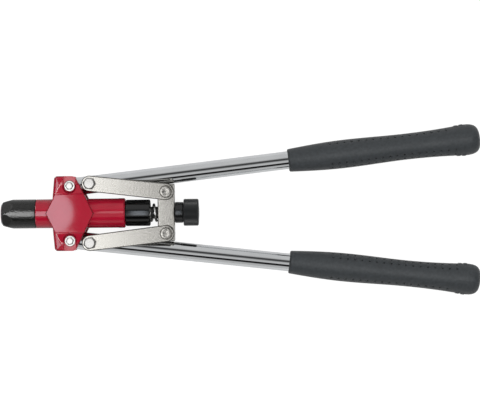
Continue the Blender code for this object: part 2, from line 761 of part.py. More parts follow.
def make_sleeve(shop, tool):
    """The black sleeve screwed into the rear tube, and the spring that it houses."""
    spigot_end = SLEEVE_FRONT - SLEEVE_SPIGOT_LENGTH
    seat = SLEEVE_BACK - SPRING_SEAT_DEPTH
    spring_bore = SPRING_RADIUS + SPRING_WIRE / 2 + RUNNING_GAP
    rim = SLEEVE_RADIUS - SLEEVE_EDGE
    outline = [
        (SLEEVE_BACK, rim),
        (SLEEVE_BACK - SLEEVE_EDGE, SLEEVE_RADIUS),
        (SLEEVE_FRONT + SLEEVE_EDGE, SLEEVE_RADIUS),
        (SLEEVE_FRONT, rim),
        (SLEEVE_FRONT, SLEEVE_SPIGOT_RADIUS),
        (spigot_end, SLEEVE_SPIGOT_RADIUS),
        (spigot_end, SPINDLE_CLEAR),
        (seat, SPINDLE_CLEAR),
        (seat, spring_bore),
        (SLEEVE_BACK, spring_bore),
    ]
    sleeve = profile("stop_sleeve", outline)
    turn(shop.piece("stop_sleeve", sleeve, tool, shop.black_steel, AXIAL), LARGE_ROUND_STEPS)

    inset = SEAT_GAP + SPRING_WIRE / 2
    start = seat + inset
    end = CROSSHEAD_FRONT - inset
    path = helix(start, end, SPRING_RADIUS, SPRING_TURNS, SPRING_END_PITCH)
    report_gap("return_spring", path, SPRING_WIRE)
    coil = wire("return_spring", path, SPRING_WIRE / 2)
    shop.piece("return_spring", coil, tool, shop.bright_steel, AXIAL)


# Levers


def ease(share):
    """A soft start and end between 0 and 1."""
    return (1 - math.cos(math.pi * share)) / 2


def grip_radius(along):
    """The grip's half width: it swells to a belly, draws in to a waist, and flares to a stop."""
    if along <= GRIP_BELLY_REACH:
        share = math.sin(math.pi / 2 * along / GRIP_BELLY_REACH)
        return GRIP_FRONT_RADIUS + (GRIP_BELLY_RADIUS - GRIP_FRONT_RADIUS) * share
    if along <= GRIP_WAIST_REACH:
        share = ease((along - GRIP_BELLY_REACH) / (GRIP_WAIST_REACH - GRIP_BELLY_REACH))
        return GRIP_BELLY_RADIUS + (GRIP_WAIST_RADIUS - GRIP_BELLY_RADIUS) * share
    if along <= GRIP_FLARE_REACH:
        share = (along - GRIP_WAIST_REACH) / (GRIP_FLARE_REACH - GRIP_WAIST_REACH)
        return GRIP_WAIST_RADIUS + (GRIP_FLARE_RADIUS - GRIP_WAIST_RADIUS) * share**2
    share = min((along - GRIP_FLARE_REACH) / GRIP_END_REACH, 1.0)
    rest = (1 - share**GRIP_END_ROUNDNESS) ** (1 / GRIP_END_ROUNDNESS)
    return GRIP_END_FLAT + (GRIP_FLARE_RADIUS - GRIP_END_FLAT) * rest


def grip_sections(side):
    """The oval sections of a grip, which drift towards the tool's axis along its length."""
    run = GRIP_FLARE_REACH - GRIP_CHAMFER
    places = [GRIP_CHAMFER + run * n / GRIP_STEPS for n in range(GRIP_STEPS + 1)]
    for n in range(1, GRIP_END_STEPS + 1):
        share = math.sin(math.pi / 2 * n / (GRIP_END_STEPS + 0.5))
        places.append(GRIP_FLARE_REACH + GRIP_END_REACH * share)
    places.append(GRIP_LENGTH)
    widths = [(0.0, GRIP_FRONT_RADIUS - GRIP_CHAMFER)] + [(p, grip_radius(p)) for p in places]
    sections = []
    for along, width in widths:
        oval = circle((0.0, 0.0), 1.0, MEDIUM_ROUND_STEPS)
        inward = -side * GRIP_DRIFT * along / GRIP_LENGTH
        deep = width + GRIP_OVAL * width / GRIP_FLARE_RADIUS
        sections.append([(along, inward + width * y, deep * z) for y, z in oval])
    return sections


def make_lever(shop, name, side, lever):
    """One chromed tube with its two bushes and its grip. Its axis empty lies on the pivot."""
    centre = moved(y=-side * LEVER_OFFSET)
    bore = LEVER_RADIUS - LEVER_WALL
    end = GRIP_START + LEVER_IN_GRIP
    outline = [(end, LEVER_RADIUS), (-LEVER_FRONT, LEVER_RADIUS), (-LEVER_FRONT, bore), (end, bore)]
    label = name + "_lever_tube"
    tube = shop.piece(label, profile(label, outline), lever, shop.chrome, centre @ AXIAL)
    turn(tube, MEDIUM_ROUND_STEPS)
    bolts = {"pivot": (0.0, PIVOT_BOLT_RADIUS), "link": (LINK_CRANK, LINK_BOLT_RADIUS)}
    for place, (along, bolt) in bolts.items():
        label = f"{name}_{place}_bush"
        hole = rod(label + "_hole", BUSH_RADIUS + SEAT_GAP, 2 * LEVER_RADIUS, SMALL_ROUND_STEPS)
        combine(tube, shop.helper(hole.name, hole, lever, moved(x=along)), "DIFFERENCE")
        inner = bolt + SEAT_GAP
        outline = [
            (LEVER_RADIUS, BUSH_RADIUS),
            (-LEVER_RADIUS, BUSH_RADIUS),
            (-LEVER_RADIUS, inner),
            (LEVER_RADIUS, inner),
        ]
        bush = profile(label, outline)
        turn(shop.piece(label, bush, lever, shop.bronze, moved(x=along)), SMALL_ROUND_STEPS)

    label = name + "_grip"
    grip = lofted(label, grip_sections(side))
    grip = shop.piece(label, grip, lever, shop.rubber, centre @ moved(x=GRIP_START))
    reach = LEVER_IN_GRIP + SEAT_GAP
    socket = rod(label + "_socket", LEVER_RADIUS + SEAT_GAP, reach, MEDIUM_ROUND_STEPS)
    level = centre @ moved(x=GRIP_START) @ AXIAL
    combine(grip, shop.helper(socket.name, socket, lever, level), "DIFFERENCE")


# Links and crosshead


def link_outline(length):
    """A plate round two eyes, drawn straight between them."""
    lean = math.acos((LINK_FRONT_EYE - LINK_REAR_EYE) / length)
    front = arc((0.0, 0.0), LINK_FRONT_EYE, lean, 2 * math.pi - lean, SMALL_ROUND_STEPS)
    rear = arc((length, 0.0), LINK_REAR_EYE, -lean, lean, SMALL_ROUND_STEPS)
    return front + rear


def hex_nut(name, flats, turned_by, hole, height):
    """A plain nut."""
    loops = [hexagon(flats, turned_by), circle((0.0, 0.0), hole, SMALL_ROUND_STEPS)]
    return plate(name, loops, height / 2)


def make_links(shop, name, link, length):
    """A pair of links on their bolt and nut. Their axis empty lies on the bolt."""
    bolt_hole = circle((0.0, 0.0), LINK_BOLT_RADIUS + SEAT_GAP, SMALL_ROUND_STEPS)
    pin_hole = circle((length, 0.0), PIN_RADIUS + OPEN_PIVOT_GAP, SMALL_ROUND_STEPS)
    middle = (LINK_INNER + LINK_OUTER) / 2
    for face, sign in (("front", 1.0), ("back", -1.0)):
        label = f"{name}_link_{face}"
        strap = plate(label, [link_outline(length), bolt_hole, pin_hole], LINK_THICKNESS / 2)
        shop.piece(label, strap, link, shop.nickel, moved(z=sign * middle))

    seat = LINK_OUTER + SEAT_GAP
    end = -seat - LINK_NUT_HEIGHT
    label = name + "_link_bolt"
    head = plate(label, [hexagon(LINK_HEX_FLATS, HEX_TURN[name])], LINK_HEAD_HEIGHT / 2)
    head = shop.piece(label, head, link, shop.bright_steel, moved(z=seat + LINK_HEAD_HEIGHT / 2))
    inside = seat + LINK_HEAD_HEIGHT / 2
    shank = rod(label + "_shank", LINK_BOLT_RADIUS, (inside - end) / 2, SMALL_ROUND_STEPS)
    combine(head, shop.helper(shank.name, shank, link, moved(z=(inside + end) / 2)), "UNION")
    label = name + "_link_nut"
    nut = hex_nut(label, LINK_HEX_FLATS, 0.0, LINK_BOLT_RADIUS + SEAT_GAP, LINK_NUT_HEIGHT)
    shop.piece(label, nut, link, shop.bright_steel, moved(z=-seat - LINK_NUT_HEIGHT / 2))


def lever_inner_edge(along):
    """Half the clear width between the closed levers at a place along the tool."""
    inward = (LEVER_OFFSET + LEVER_RADIUS) / math.cos(LEVER_ANGLE)
    return PIVOT_HALF_SPACING + along * math.tan(LEVER_ANGLE) - inward


def make_crosshead(shop, carriage):
    """The crosshead, whose slanted ends stop the closing levers, with its two link pins."""
    half = CROSSHEAD_WIDTH / 2
    rear = lever_inner_edge(CROSSHEAD_BACK) - STOP_GAP
    front = lever_inner_edge(CROSSHEAD_FRONT) - STOP_GAP
    outline = [(-half, -front), (half, -rear), (half, rear), (-half, front)]
    bar = plate("crosshead", [outline], CROSSHEAD_HALF_DEPTH)
    bar = shop.piece("crosshead", bar, carriage, shop.nickel)
    round_edges(bar, CROSSHEAD_EDGE)
    bore = rod("crosshead_bore", TAIL_CLEAR, CROSSHEAD_WIDTH, MEDIUM_ROUND_STEPS)
    combine(bar, shop.helper("crosshead_bore", bore, carriage, AXIAL), "DIFFERENCE")

    seat = LINK_OUTER + SEAT_GAP
    groove_end = -seat - RING_THICKNESS - SEAT_GAP
    for name, side in SIDES.items():
        place = moved(y=side * PIN_HALF_SPACING)
        label = name + "_crosshead_pin"
        hole = rod(label + "_hole", PIN_RADIUS + SEAT_GAP, 2 * CROSSHEAD_HALF_DEPTH, SMALL_ROUND_STEPS)
        combine(bar, shop.helper(hole.name, hole, carriage, place), "DIFFERENCE")
        step = seat + PIN_HEAD_HEIGHT
        outline = [
            (step + PIN_BUTTON_HEIGHT, 0.0),
            (step + PIN_BUTTON_HEIGHT, PIN_BUTTON_RADIUS),
            (step, PIN_BUTTON_RADIUS),
            (step, PIN_HEAD_RADIUS),
            (seat, PIN_HEAD_RADIUS),
            (seat, PIN_RADIUS),
            (-LINK_OUTER, PIN_RADIUS),
            (-LINK_OUTER, PIN_GROOVE_RADIUS),
            (groove_end, PIN_GROOVE_RADIUS),
            (groove_end, PIN_RADIUS),
            (groove_end - PIN_TAIL, PIN_RADIUS),
            (groove_end - PIN_TAIL, 0.0),
        ]
        pin = profile(label, outline)
        turn(shop.piece(label, pin, carriage, shop.nickel, place), SMALL_ROUND_STEPS)
        label = name + "_pin_ring"
        inner = PIN_GROOVE_RADIUS + SEAT_GAP
        outline = [
            (-seat, RING_RADIUS),
            (-seat - RING_THICKNESS, RING_RADIUS),
            (-seat - RING_THICKNESS, inner),
            (-seat, inner),
        ]
        ring = profile(label, outline)
        turn(shop.piece(label, ring, carriage, shop.black_steel, place), SMALL_ROUND_STEPS)


def make_pivot_bolts(shop, tool):
    """The flanged bolts and nuts that hold the levers in the body's ears."""
    seat = POCKET_FLOOR + SEAT_GAP
    flange_top = seat + PIVOT_FLANGE_HEIGHT
    end = -seat - PIVOT_NUT_HEIGHT
    for name, side in SIDES.items():
        place = moved(y=side * PIVOT_HALF_SPACING)
        label = name + "_pivot_bolt"
        sunk = PIVOT_FLANGE_HEIGHT / 2
        half = (PIVOT_HEAD_HEIGHT + sunk) / 2
        hexed = plate(label, [hexagon(PIVOT_HEX_FLATS, HEX_TURN[name])], half)
        level = place @ moved(z=flange_top - sunk + half)
        bolt = shop.piece(label, hexed, tool, shop.bright_steel, level)
        outline = [
            (flange_top, 0.0),
            (flange_top, PIVOT_FLANGE_RADIUS),
            (seat, PIVOT_FLANGE_RADIUS),
            (seat, PIVOT_BOLT_RADIUS),
            (end, PIVOT_BOLT_RADIUS),
            (end, 0.0),
        ]
        shank = shop.helper(label + "_shank", profile(label + "_shank", outline), tool, place)
        combine(bolt, turn(shank, SMALL_ROUND_STEPS), "UNION")
        label = name + "_pivot_nut"
        nut = hex_nut(label, PIVOT_NUT_FLATS, 0.0, PIVOT_BOLT_RADIUS + SEAT_GAP, PIVOT_NUT_HEIGHT)
        shop.piece(label, nut, tool, shop.bright_steel, place @ moved(z=-seat - PIVOT_NUT_HEIGHT / 2))


def main():
    """Builds the whole tool at rest, with its levers closed."""
    clear_scene()
    shop = Workshop()
    tool = shop.axis("tool_axis", None, moved(z=BODY_HALF_DEPTH))
    make_body(shop, tool)
    make_nose(shop, tool)
    make_pivot_bolts(shop, tool)
    make_sleeve(shop, tool)

    carriage = shop.axis("crosshead_axis", tool, moved(x=CROSSHEAD_CENTRE))
    make_crosshead(shop, carriage)
    spindle = shop.axis("spindle_axis", carriage, moved(x=-CROSSHEAD_CENTRE))
    make_spindle(shop, spindle)
    make_jaws(shop, spindle)

    for name, side in SIDES.items():
        lean = Matrix.Rotation(side * LEVER_ANGLE, 4, "Z")
        pivot = moved(y=side * PIVOT_HALF_SPACING)
        lever = shop.axis(name + "_lever_axis", tool, pivot @ lean)
        make_lever(shop, name, side, lever)

        bolt_x = LINK_CRANK * math.cos(LEVER_ANGLE)
        bolt_y = PIVOT_HALF_SPACING + LINK_CRANK * math.sin(LEVER_ANGLE)
        run = CROSSHEAD_CENTRE - bolt_x
        fall = PIN_HALF_SPACING - bolt_y
        slope = Matrix.Rotation(side * math.atan2(fall, run), 4, "Z")
        on_lever = lean.inverted() @ slope
        link = shop.axis(name + "_link_axis", lever, moved(x=LINK_CRANK) @ on_lever)
        make_links(shop, name, link, math.hypot(run, fall))


if __name__ == "__main__":
    main()
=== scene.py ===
"""The looks of a long-arm hand riveter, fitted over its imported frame.

Lengths are in metres in the frame's own axes: X runs from the nose to the grips, Y towards the
upper lever and Z up from the bench. Sizes written in millimetres are multiplied by MM.
"""

import logging
import math
from abc import ABC, abstractmethod
from collections.abc import Iterable, Sequence
from dataclasses import dataclass
from enum import Enum

import bmesh
import bpy
from mathutils import Matrix, Vector


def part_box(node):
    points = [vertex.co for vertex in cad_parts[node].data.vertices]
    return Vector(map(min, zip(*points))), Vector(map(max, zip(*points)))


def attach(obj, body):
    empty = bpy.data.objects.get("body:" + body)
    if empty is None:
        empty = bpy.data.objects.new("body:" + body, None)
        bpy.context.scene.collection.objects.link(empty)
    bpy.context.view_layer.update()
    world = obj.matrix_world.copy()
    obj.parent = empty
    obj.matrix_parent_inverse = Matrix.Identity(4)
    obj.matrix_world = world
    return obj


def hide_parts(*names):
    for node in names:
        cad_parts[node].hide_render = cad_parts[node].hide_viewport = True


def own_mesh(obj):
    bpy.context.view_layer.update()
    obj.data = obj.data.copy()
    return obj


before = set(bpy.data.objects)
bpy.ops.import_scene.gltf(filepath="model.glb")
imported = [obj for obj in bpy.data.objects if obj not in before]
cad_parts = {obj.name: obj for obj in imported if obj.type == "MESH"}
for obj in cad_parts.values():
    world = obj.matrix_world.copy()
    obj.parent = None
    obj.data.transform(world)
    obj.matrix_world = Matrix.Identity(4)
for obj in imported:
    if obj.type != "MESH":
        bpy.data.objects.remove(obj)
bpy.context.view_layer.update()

MM = 0.001
AXIS_HEIGHT = 15.5 * MM
ROUND_STEPS = 96
WELD = 0.0000005
SHADING_AND_WEAR = "edge_wear"
LOG = logging.getLogger("hand_riveter")
FULL = 2 * math.pi
ALONG_X = Matrix.Rotation(math.pi / 2, 4, "Y")
# How far flat faces may lean, the most of a side that a rounding takes up, the usual rounding of a
# turned edge, half the length of a cutter that goes right through, and a lamp's power at level 1
FLAT_TO = math.radians(0.3)
SIDE_SHARE = 0.48
EASED = 0.3 * MM
THROUGH = 12.0 * MM
LAMP_POWER = 4.0

Corner = Sequence[float]
Point = tuple[float, float]
Place = tuple[float, float, float]
Colour = tuple[float, float, float]
Ring = list[bmesh.types.BMVert]
Piece = bpy.types.Object
Socket = bpy.types.NodeSocket
Source = Socket | float | Sequence[float]


class Side(Enum):
    """The two levers, with the sign of their Y."""

    UPPER = 1.0
    LOWER = -1.0

    @property
    def label(self) -> str:
        """The side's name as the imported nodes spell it."""
        return self.name.lower()


class Face(Enum):
    """The viewer's side and the bench side of the tool, with the sign of their Z."""

    FRONT = 1.0
    BACK = -1.0


class Slot(Enum):
    """The record's material slots."""

    RED = "red_paint"
    BLACK = "black_steel"
    BRIGHT = "bright_steel"
    CHROME = "chrome"
    NICKEL = "satin_nickel"
    BRONZE = "bronze"
    RUBBER = "grip_rubber"
    PLASTIC = "knob_plastic"


HEAD_TURN = {Side.UPPER: 0.0, Side.LOWER: math.radians(8.0)}

# Finishes

# The range that most of a noise lies in, and a narrower one for patches of painted edge shading and
# wear
MOST = (0.3, 0.7)
PATCHES = (0.35, 0.65)


class Nodes:
    """A node tree under construction."""

    def __init__(self, owner: bpy.types.Material | bpy.types.World) -> None:
        """Starts on the owner's own tree."""
        owner.use_nodes = True
        self.tree = owner.node_tree

    def feed(self, target: Socket, source: Source) -> None:
        """Joins an output to an input, or sets a plain value on it.

        Args:
            target: The input.
            source: The output or the value.
        """
        if isinstance(source, Socket):
            self.tree.links.new(source, target)
        else:
            target.default_value = source

    def node(self, kind: str, inputs: dict[str | int, Source] | None = None) -> bpy.types.Node:
        """Adds a node.

        Args:
            kind: Its type.
            inputs: What its inputs are fed, by name or number.

        Returns:
            The node.
        """
        made = self.tree.nodes.new(kind)
        for name, source in (inputs or {}).items():
            self.feed(made.inputs[name], source)
        return made

    def maths(self, kind: str, *sources: Source) -> Socket:
        """A number worked out from others.

        Args:
            kind: How it is worked out.
            sources: The others.

        Returns:
            The number.
        """
        made = self.node("ShaderNodeMath", dict(enumerate(sources)))
        made.operation = kind
        return made.outputs[0]

    def ramp(self, value: Socket, *stops: tuple[float, Colour]) -> Socket:
        """Colours along a value.

        Args:
            value: What picks the colour.
            stops: Places from 0 to 1, each with its colour.

        Returns:
            The colour.
        """
        made = self.node("ShaderNodeValToRGB", {"Fac": value})
        points = made.color_ramp.elements
        while len(points) < len(stops):
            points.new(1.0)
        for point, (place, colour) in zip(points, stops):
            point.position = place
            point.color = (*colour, 1.0)
        return made.outputs["Color"]


class Surface(Nodes):
    """A material under construction, read in the frame's own coordinates."""

    def __init__(self, name: str) -> None:
        """Starts a material.

        Args:
            name: The material's name.
        """
        self.material = bpy.data.materials.new(name)
        super().__init__(self.material)
        self.shader = self.tree.nodes["Principled BSDF"]
        self.place = self.node("ShaderNodeTexCoord").outputs["Object"]

    def noise(self, scale: float, detail: float = 2.0, stretch: Place = (1.0, 1.0, 1.0)) -> Socket:
        """Soft noise over the frame's coordinates.

        Args:
            scale: Cells in a metre.
            detail: Octaves.
            stretch: How much the scale is multiplied along each axis.

        Returns:
            The noise value, about 0.5 in the middle.
        """
        spread = self.node("ShaderNodeMapping", {"Scale": stretch, "Vector": self.place})
        inputs = {"Scale": scale, "Detail": detail, "Vector": spread.outputs["Vector"]}
        return self.node("ShaderNodeTexNoise", inputs).outputs["Fac"]

    def pits(self, scale: float) -> Socket:
        """Distance to scattered points, for blasted surfaces."""
        inputs = {"Scale": scale, "Vector": self.place}
        return self.node("ShaderNodeTexVoronoi", inputs).outputs["Distance"]

    def wear(self) -> Socket:
        """How far a point is marked for wear and painted edge shading, from the mesh's own
        attribute.

        Returns:
            The share, below 0 where the paint takes a painted highlight.
        """
        made = self.node("ShaderNodeAttribute")
        made.attribute_name = SHADING_AND_WEAR
        return made.outputs["Fac"]

    def span(self, value: Socket, source: Point, target: Point) -> Socket:
        """Maps a value from one range to another, held at its ends."""
        inputs = dict(enumerate((value, *source, *target)))
        return self.node("ShaderNodeMapRange", inputs).outputs["Result"]

    def rub(self, scale: float, source: Point, target: Point) -> Socket:
        """Painted shading and wear in patches: the edge mark, times noise mapped from one range to
        another.
        """
        return self.maths("MULTIPLY", self.wear(), self.span(self.noise(scale), source, target))

    def over(self, share: Socket, under: Socket, colour: Colour) -> Socket:
        """Lays a colour over another.

        Args:
            share: How much of the upper colour shows.
            under: The lower colour.
            colour: The upper colour.

        Returns:
            The mixed colour.
        """
        made = self.node("ShaderNodeMix")
        made.data_type = "RGBA"
        for number, source in ((0, share), (6, under), (7, (*colour, 1.0))):
            self.feed(made.inputs[number], source)
        return made.outputs[2]

    def give(self, **inputs: Source) -> None:
        """Feeds the shader.

        Args:
            inputs: What its inputs are fed, by their names in lower case with underscores.
        """
        for socket in self.shader.inputs:
            name = socket.name.lower().replace(" ", "_")
            if name in inputs:
                self.feed(socket, inputs[name])

    def relief(self, *layers: tuple[Socket, float, float]) -> None:
        """Raises the surface by one or more layers of fine relief.

        Args:
            layers: Each a height, a strength and a depth in metres.
        """
        below: dict[str, Source] = {}
        for height, strength, depth in layers:
            inputs = {"Strength": strength, "Distance": depth, "Height": height, **below}
            below = {"Normal": self.node("ShaderNodeBump", inputs).outputs["Normal"]}
        self.give(normal=below["Normal"])


def shade(colour: Colour, share: float) -> Colour:
    """A darker or lighter tone of a colour."""
    return tuple(share * c for c in colour)


@dataclass(frozen=True)
class Finish(ABC):
    """A finish that several pieces may share."""

    name: str
    slot: Slot

    @abstractmethod
    def paint(self, skin: Surface) -> None:
        """Lays the finish on a new material."""

    def material(self) -> bpy.types.Material:
        """Gives the finish's material, made on first use.

        Returns:
            The material.
        """
        if self.name not in bpy.data.materials:
            self.paint(Surface(self.name))
        return bpy.data.materials[self.name]


@dataclass(frozen=True)
class Enamel(Finish):
    """Glossy paint on a casting, with faint orange peel, painted shade on its edges and a painted
    highlight on some of them.
    """

    deep: Colour
    light: Colour
    edge: Colour
    rubbed: Colour

    def paint(self, skin: Surface) -> None:
        """Lays mottled paint under a clear gloss, with painted shade on its edges and a painted
        highlight where the edge mark is below 0.

        Args:
            skin: The new material.
        """
        colour = skin.ramp(skin.noise(70.0, 4.0), (MOST[0], self.deep), (MOST[1], self.light))
        # Painted shade darkens the rounded edges; then a painted highlight makes the front
        # shoulders' edges pale.
        colour = skin.over(skin.rub(400.0, PATCHES, (0.5, 0.9)), colour, self.edge)
        pale = skin.span(skin.wear(), (0.0, -1.0), (0.0, 1.0))
        skin.give(base_color=skin.over(pale, colour, self.rubbed))
        skin.give(roughness=skin.span(skin.noise(240.0, 3.0), MOST, (0.3, 0.42)))
        skin.give(coat_weight=1.0, coat_roughness=0.04, coat_ior=1.5, specular_ior_level=0.0)
        skin.relief((skin.noise(330.0), 0.025, 0.15 * MM), (skin.noise(1900.0), 0.03, 0.05 * MM))


@dataclass(frozen=True)
class DarkSteel(Finish):
    """Blackened steel: dark, with edges lightened both by wear and as a painted highlight, and a
    fine tooth.
    """

    base: Colour
    worn: Colour
    gloss: float
    ior: float
    tooth: float
    scale: float = 2200.0

    def paint(self, skin: Surface) -> None:
        """Lays a dark skin with speckle, and edges lightened by wear and by a painted highlight.

        Args:
            skin: The new material.
        """
        stops = (0.35, shade(self.base, 0.7)), (0.68, shade(self.base, 1.5))
        speckle = skin.ramp(skin.noise(1500.0, 3.0), *stops)
        rub = skin.rub(900.0, (0.35, 0.6), (0.25, 1.0))
        rough = skin.span(skin.noise(800.0, 3.0), MOST, (0.8 * self.gloss, 1.25 * self.gloss))
        skin.give(base_color=skin.over(rub, speckle, self.worn), roughness=rough, ior=self.ior)
        skin.relief((skin.noise(self.scale, 3.0), self.tooth, 0.18 / self.scale))


@dataclass(frozen=True)
class Plating(Finish):
    """Bright metal, drawn or polished along the X axis."""

    base: Colour
    gloss: float
    grain: float

    def paint(self, skin: Surface) -> None:
        """Lays mirror metal with faint lengthwise polishing lines.

        Args:
            skin: The new material.
        """
        stops = (MOST[0], shade(self.base, 0.93)), (MOST[1], self.base)
        lines = skin.noise(1800.0, 2.0, (0.02, 1.0, 1.0))
        skin.give(metallic=1.0, base_color=skin.ramp(skin.noise(60.0, 3.0), *stops))
        skin.give(roughness=skin.span(lines, MOST, (0.7 * self.gloss, 1.4 * self.gloss)))
        skin.relief((lines, self.grain, 0.01 * MM), (skin.noise(45.0), 0.03, 0.4 * MM))


@dataclass(frozen=True)
class Blasted(Finish):
    """Plated steel with a fine blasted grain and painted shade darkening its edges."""

    base: Colour
    dark: Colour
    edge: Colour
    gloss: float
    scale: float

    def paint(self, skin: Surface) -> None:
        """Lays a grainy metal, with painted shade in its edges and grooves.

        Args:
            skin: The new material.
        """
        grain = skin.noise(self.scale, 6.0)
        speckle = skin.ramp(grain, (0.3, self.dark), (0.62, self.base))
        # The edge colour is painted shade on rounded edges and in grooves.
        skin.give(metallic=1.0, base_color=skin.over(skin.wear(), speckle, self.edge))
        skin.give(roughness=skin.span(grain, MOST, (0.85 * self.gloss, 1.15 * self.gloss)))
        skin.relief((skin.pits(1500.0), 0.15, 0.06 * MM), (skin.noise(700.0, 3.0), 0.1, 0.06 * MM))


@dataclass(frozen=True)
class Moulded(Finish):
    """Rubber or plastic straight from its mould: matt, with a fine tooth and a dusty sheen."""

    base: Colour
    dust: Colour
    gloss: float
    sheen: float

    def paint(self, skin: Surface) -> None:
        """Lays a matt dark skin, of another tone where the edge mark lies: painted shade in the
        grip's dimples and on its front rim, paler on the knob's rims.

        Args:
            skin: The new material.
        """
        stops = (MOST[0], shade(self.base, 0.82)), (MOST[1], shade(self.base, 1.18))
        colour = skin.ramp(skin.noise(420.0, 4.0), *stops)
        # The second tone is painted shade in the grip's dimples and on its front rim, and a paler
        # tone on the knob's rims.
        skin.give(base_color=skin.over(skin.rub(500.0, PATCHES, (0.3, 1.0)), colour, self.dust))
        rough = skin.span(skin.noise(150.0, 3.0), MOST, (0.88 * self.gloss, 1.1 * self.gloss))
        skin.give(roughness=rough, sheen_weight=self.sheen, sheen_roughness=0.4)
        skin.relief((skin.noise(2600.0), 0.3, 0.05 * MM), (skin.noise(260.0), 0.12, 0.12 * MM))


# Its edge colour is painted shade on rounded edges, and its pale highlight is a painted highlight
# on the diamond's front shoulders.
RED_ENAMEL = Enamel(
    "red_enamel", Slot.RED,
    deep=(0.385, 0.007, 0.026), light=(0.435, 0.009, 0.031),
    edge=(0.13, 0.002, 0.007), rubbed=(0.77, 0.30, 0.32),
)  # fmt: skip
# The second colour of each dark steel lightens its edges, as wear and as a painted highlight.
NOSE_BLACK = DarkSteel(
    "nose_black", Slot.BLACK, (0.007, 0.007, 0.0065), (0.02, 0.02, 0.019), 0.2, 1.5, 1.0, 700.0
)
SLEEVE_BLACK = DarkSteel(
    "sleeve_black", Slot.BLACK, (0.001, 0.001, 0.0012), (0.05, 0.05, 0.05), 0.14, 1.6, 0.022
)
NUT_BLACK = DarkSteel(
    "nut_black", Slot.BLACK, (0.004, 0.0045, 0.0045), (0.07, 0.07, 0.07), 0.22, 1.6, 0.066
)
SHAFT_DARK = DarkSteel(
    "shaft_dark", Slot.BLACK, (0.015, 0.015, 0.015), (0.08, 0.08, 0.08), 0.4, 1.5, 0.044
)
TUBE_CHROME = Plating("tube_chrome", Slot.CHROME, (0.80, 0.815, 0.83), 0.06, 0.03)
SHAFT_STEEL = Plating("shaft_steel", Slot.BRIGHT, (0.62, 0.61, 0.60), 0.22, 0.12)
SPRING_STEEL = Plating("spring_steel", Slot.BRIGHT, (0.58, 0.58, 0.58), 0.24, 0.1)
BUSH_BRONZE = Plating("bush_bronze", Slot.BRONZE, (0.60, 0.40, 0.18), 0.3, 0.1)
# The third colour of each is painted shade on its edges and in its grooves.
BOLT_ZINC = Blasted(
    "bolt_zinc", Slot.BRIGHT, (0.72, 0.71, 0.695), (0.60, 0.59, 0.575),
    (0.035, 0.035, 0.035), 0.30, 800.0,
)  # fmt: skip
LINK_NICKEL = Blasted(
    "link_nickel", Slot.NICKEL, (0.68, 0.665, 0.63), (0.47, 0.455, 0.42),
    (0.16, 0.155, 0.145), 0.20, 1100.0,
)  # fmt: skip
BAR_NICKEL = Blasted(
    "bar_nickel", Slot.NICKEL, (0.68, 0.665, 0.63), (0.52, 0.505, 0.47),
    (0.40, 0.39, 0.365), 0.22, 1000.0,
)  # fmt: skip
PIN_NICKEL = Blasted(
    "pin_nickel", Slot.NICKEL, (0.66, 0.645, 0.61), (0.26, 0.25, 0.235),
    (0.05, 0.048, 0.044), 0.24, 560.0,
)  # fmt: skip
# The grip's second colour is painted shade in its dimples and on its front rim; the knob's is a
# paler tone on its rims.
GRIP_RUBBER = Moulded(
    "grip_rubber_skin", Slot.RUBBER, (0.035, 0.040, 0.044), (0.006, 0.007, 0.0075), 0.52, 0.10
)
KNOB_PLASTIC = Moulded(
    "knob_moulding", Slot.PLASTIC, (0.007, 0.008, 0.0086), (0.02, 0.022, 0.023), 0.42, 0.1
)

# Mesh making


def moved(x: float = 0.0, y: float = 0.0, z: float = 0.0) -> Matrix:
    """A shift along the frame's axes."""
    return Matrix.Translation((x, y, z))


def along_axis(x: float = 0.0) -> Matrix:
    """Places a turned form on the tool's axis, so that its own Z runs along X."""
    return moved(x=x, z=AXIS_HEIGHT) @ ALONG_X


def smooth_step(share: float) -> float:
    """A soft start and end between 0 and 1."""
    held = min(max(share, 0.0), 1.0)
    return held * held * (3 - 2 * held)


def each(value: float | Sequence[float], count: int) -> Sequence[float]:
    """A number as often as it is needed, or numbers as they are."""
    return [value] * count if isinstance(value, (int, float)) else value


def angles(steps: int, start: float = 0.0) -> list[float]:
    """Angles spread over a full turn."""
    return [FULL * n / steps + start for n in range(steps)]


def thinned(cuts: Iterable[float], least: float) -> list[float]:
    """Sorts cuts and leaves out those that lie too close.

    Args:
        cuts: The places to cut at.
        least: The distance that they keep.

    Returns:
        The cuts that stay.
    """
    kept: list[float] = []
    for cut in sorted(cuts):
        if not kept or cut - kept[-1] > least:
            kept.append(cut)
    return kept


def arc(centre: Point, radius: float, start: float, end: float, steps: int) -> list[Point]:
    """Points along an arc, from a start angle to an end angle."""
    turns = [start + (end - start) * n / steps for n in range(steps + 1)]
    return [(centre[0] + radius * math.cos(a), centre[1] + radius * math.sin(a)) for a in turns]


def circle(centre: Point, radius: float, steps: int = ROUND_STEPS) -> list[Point]:
    """Points round a circle."""
    return arc(centre, radius, 0.0, FULL, steps)[:-1]


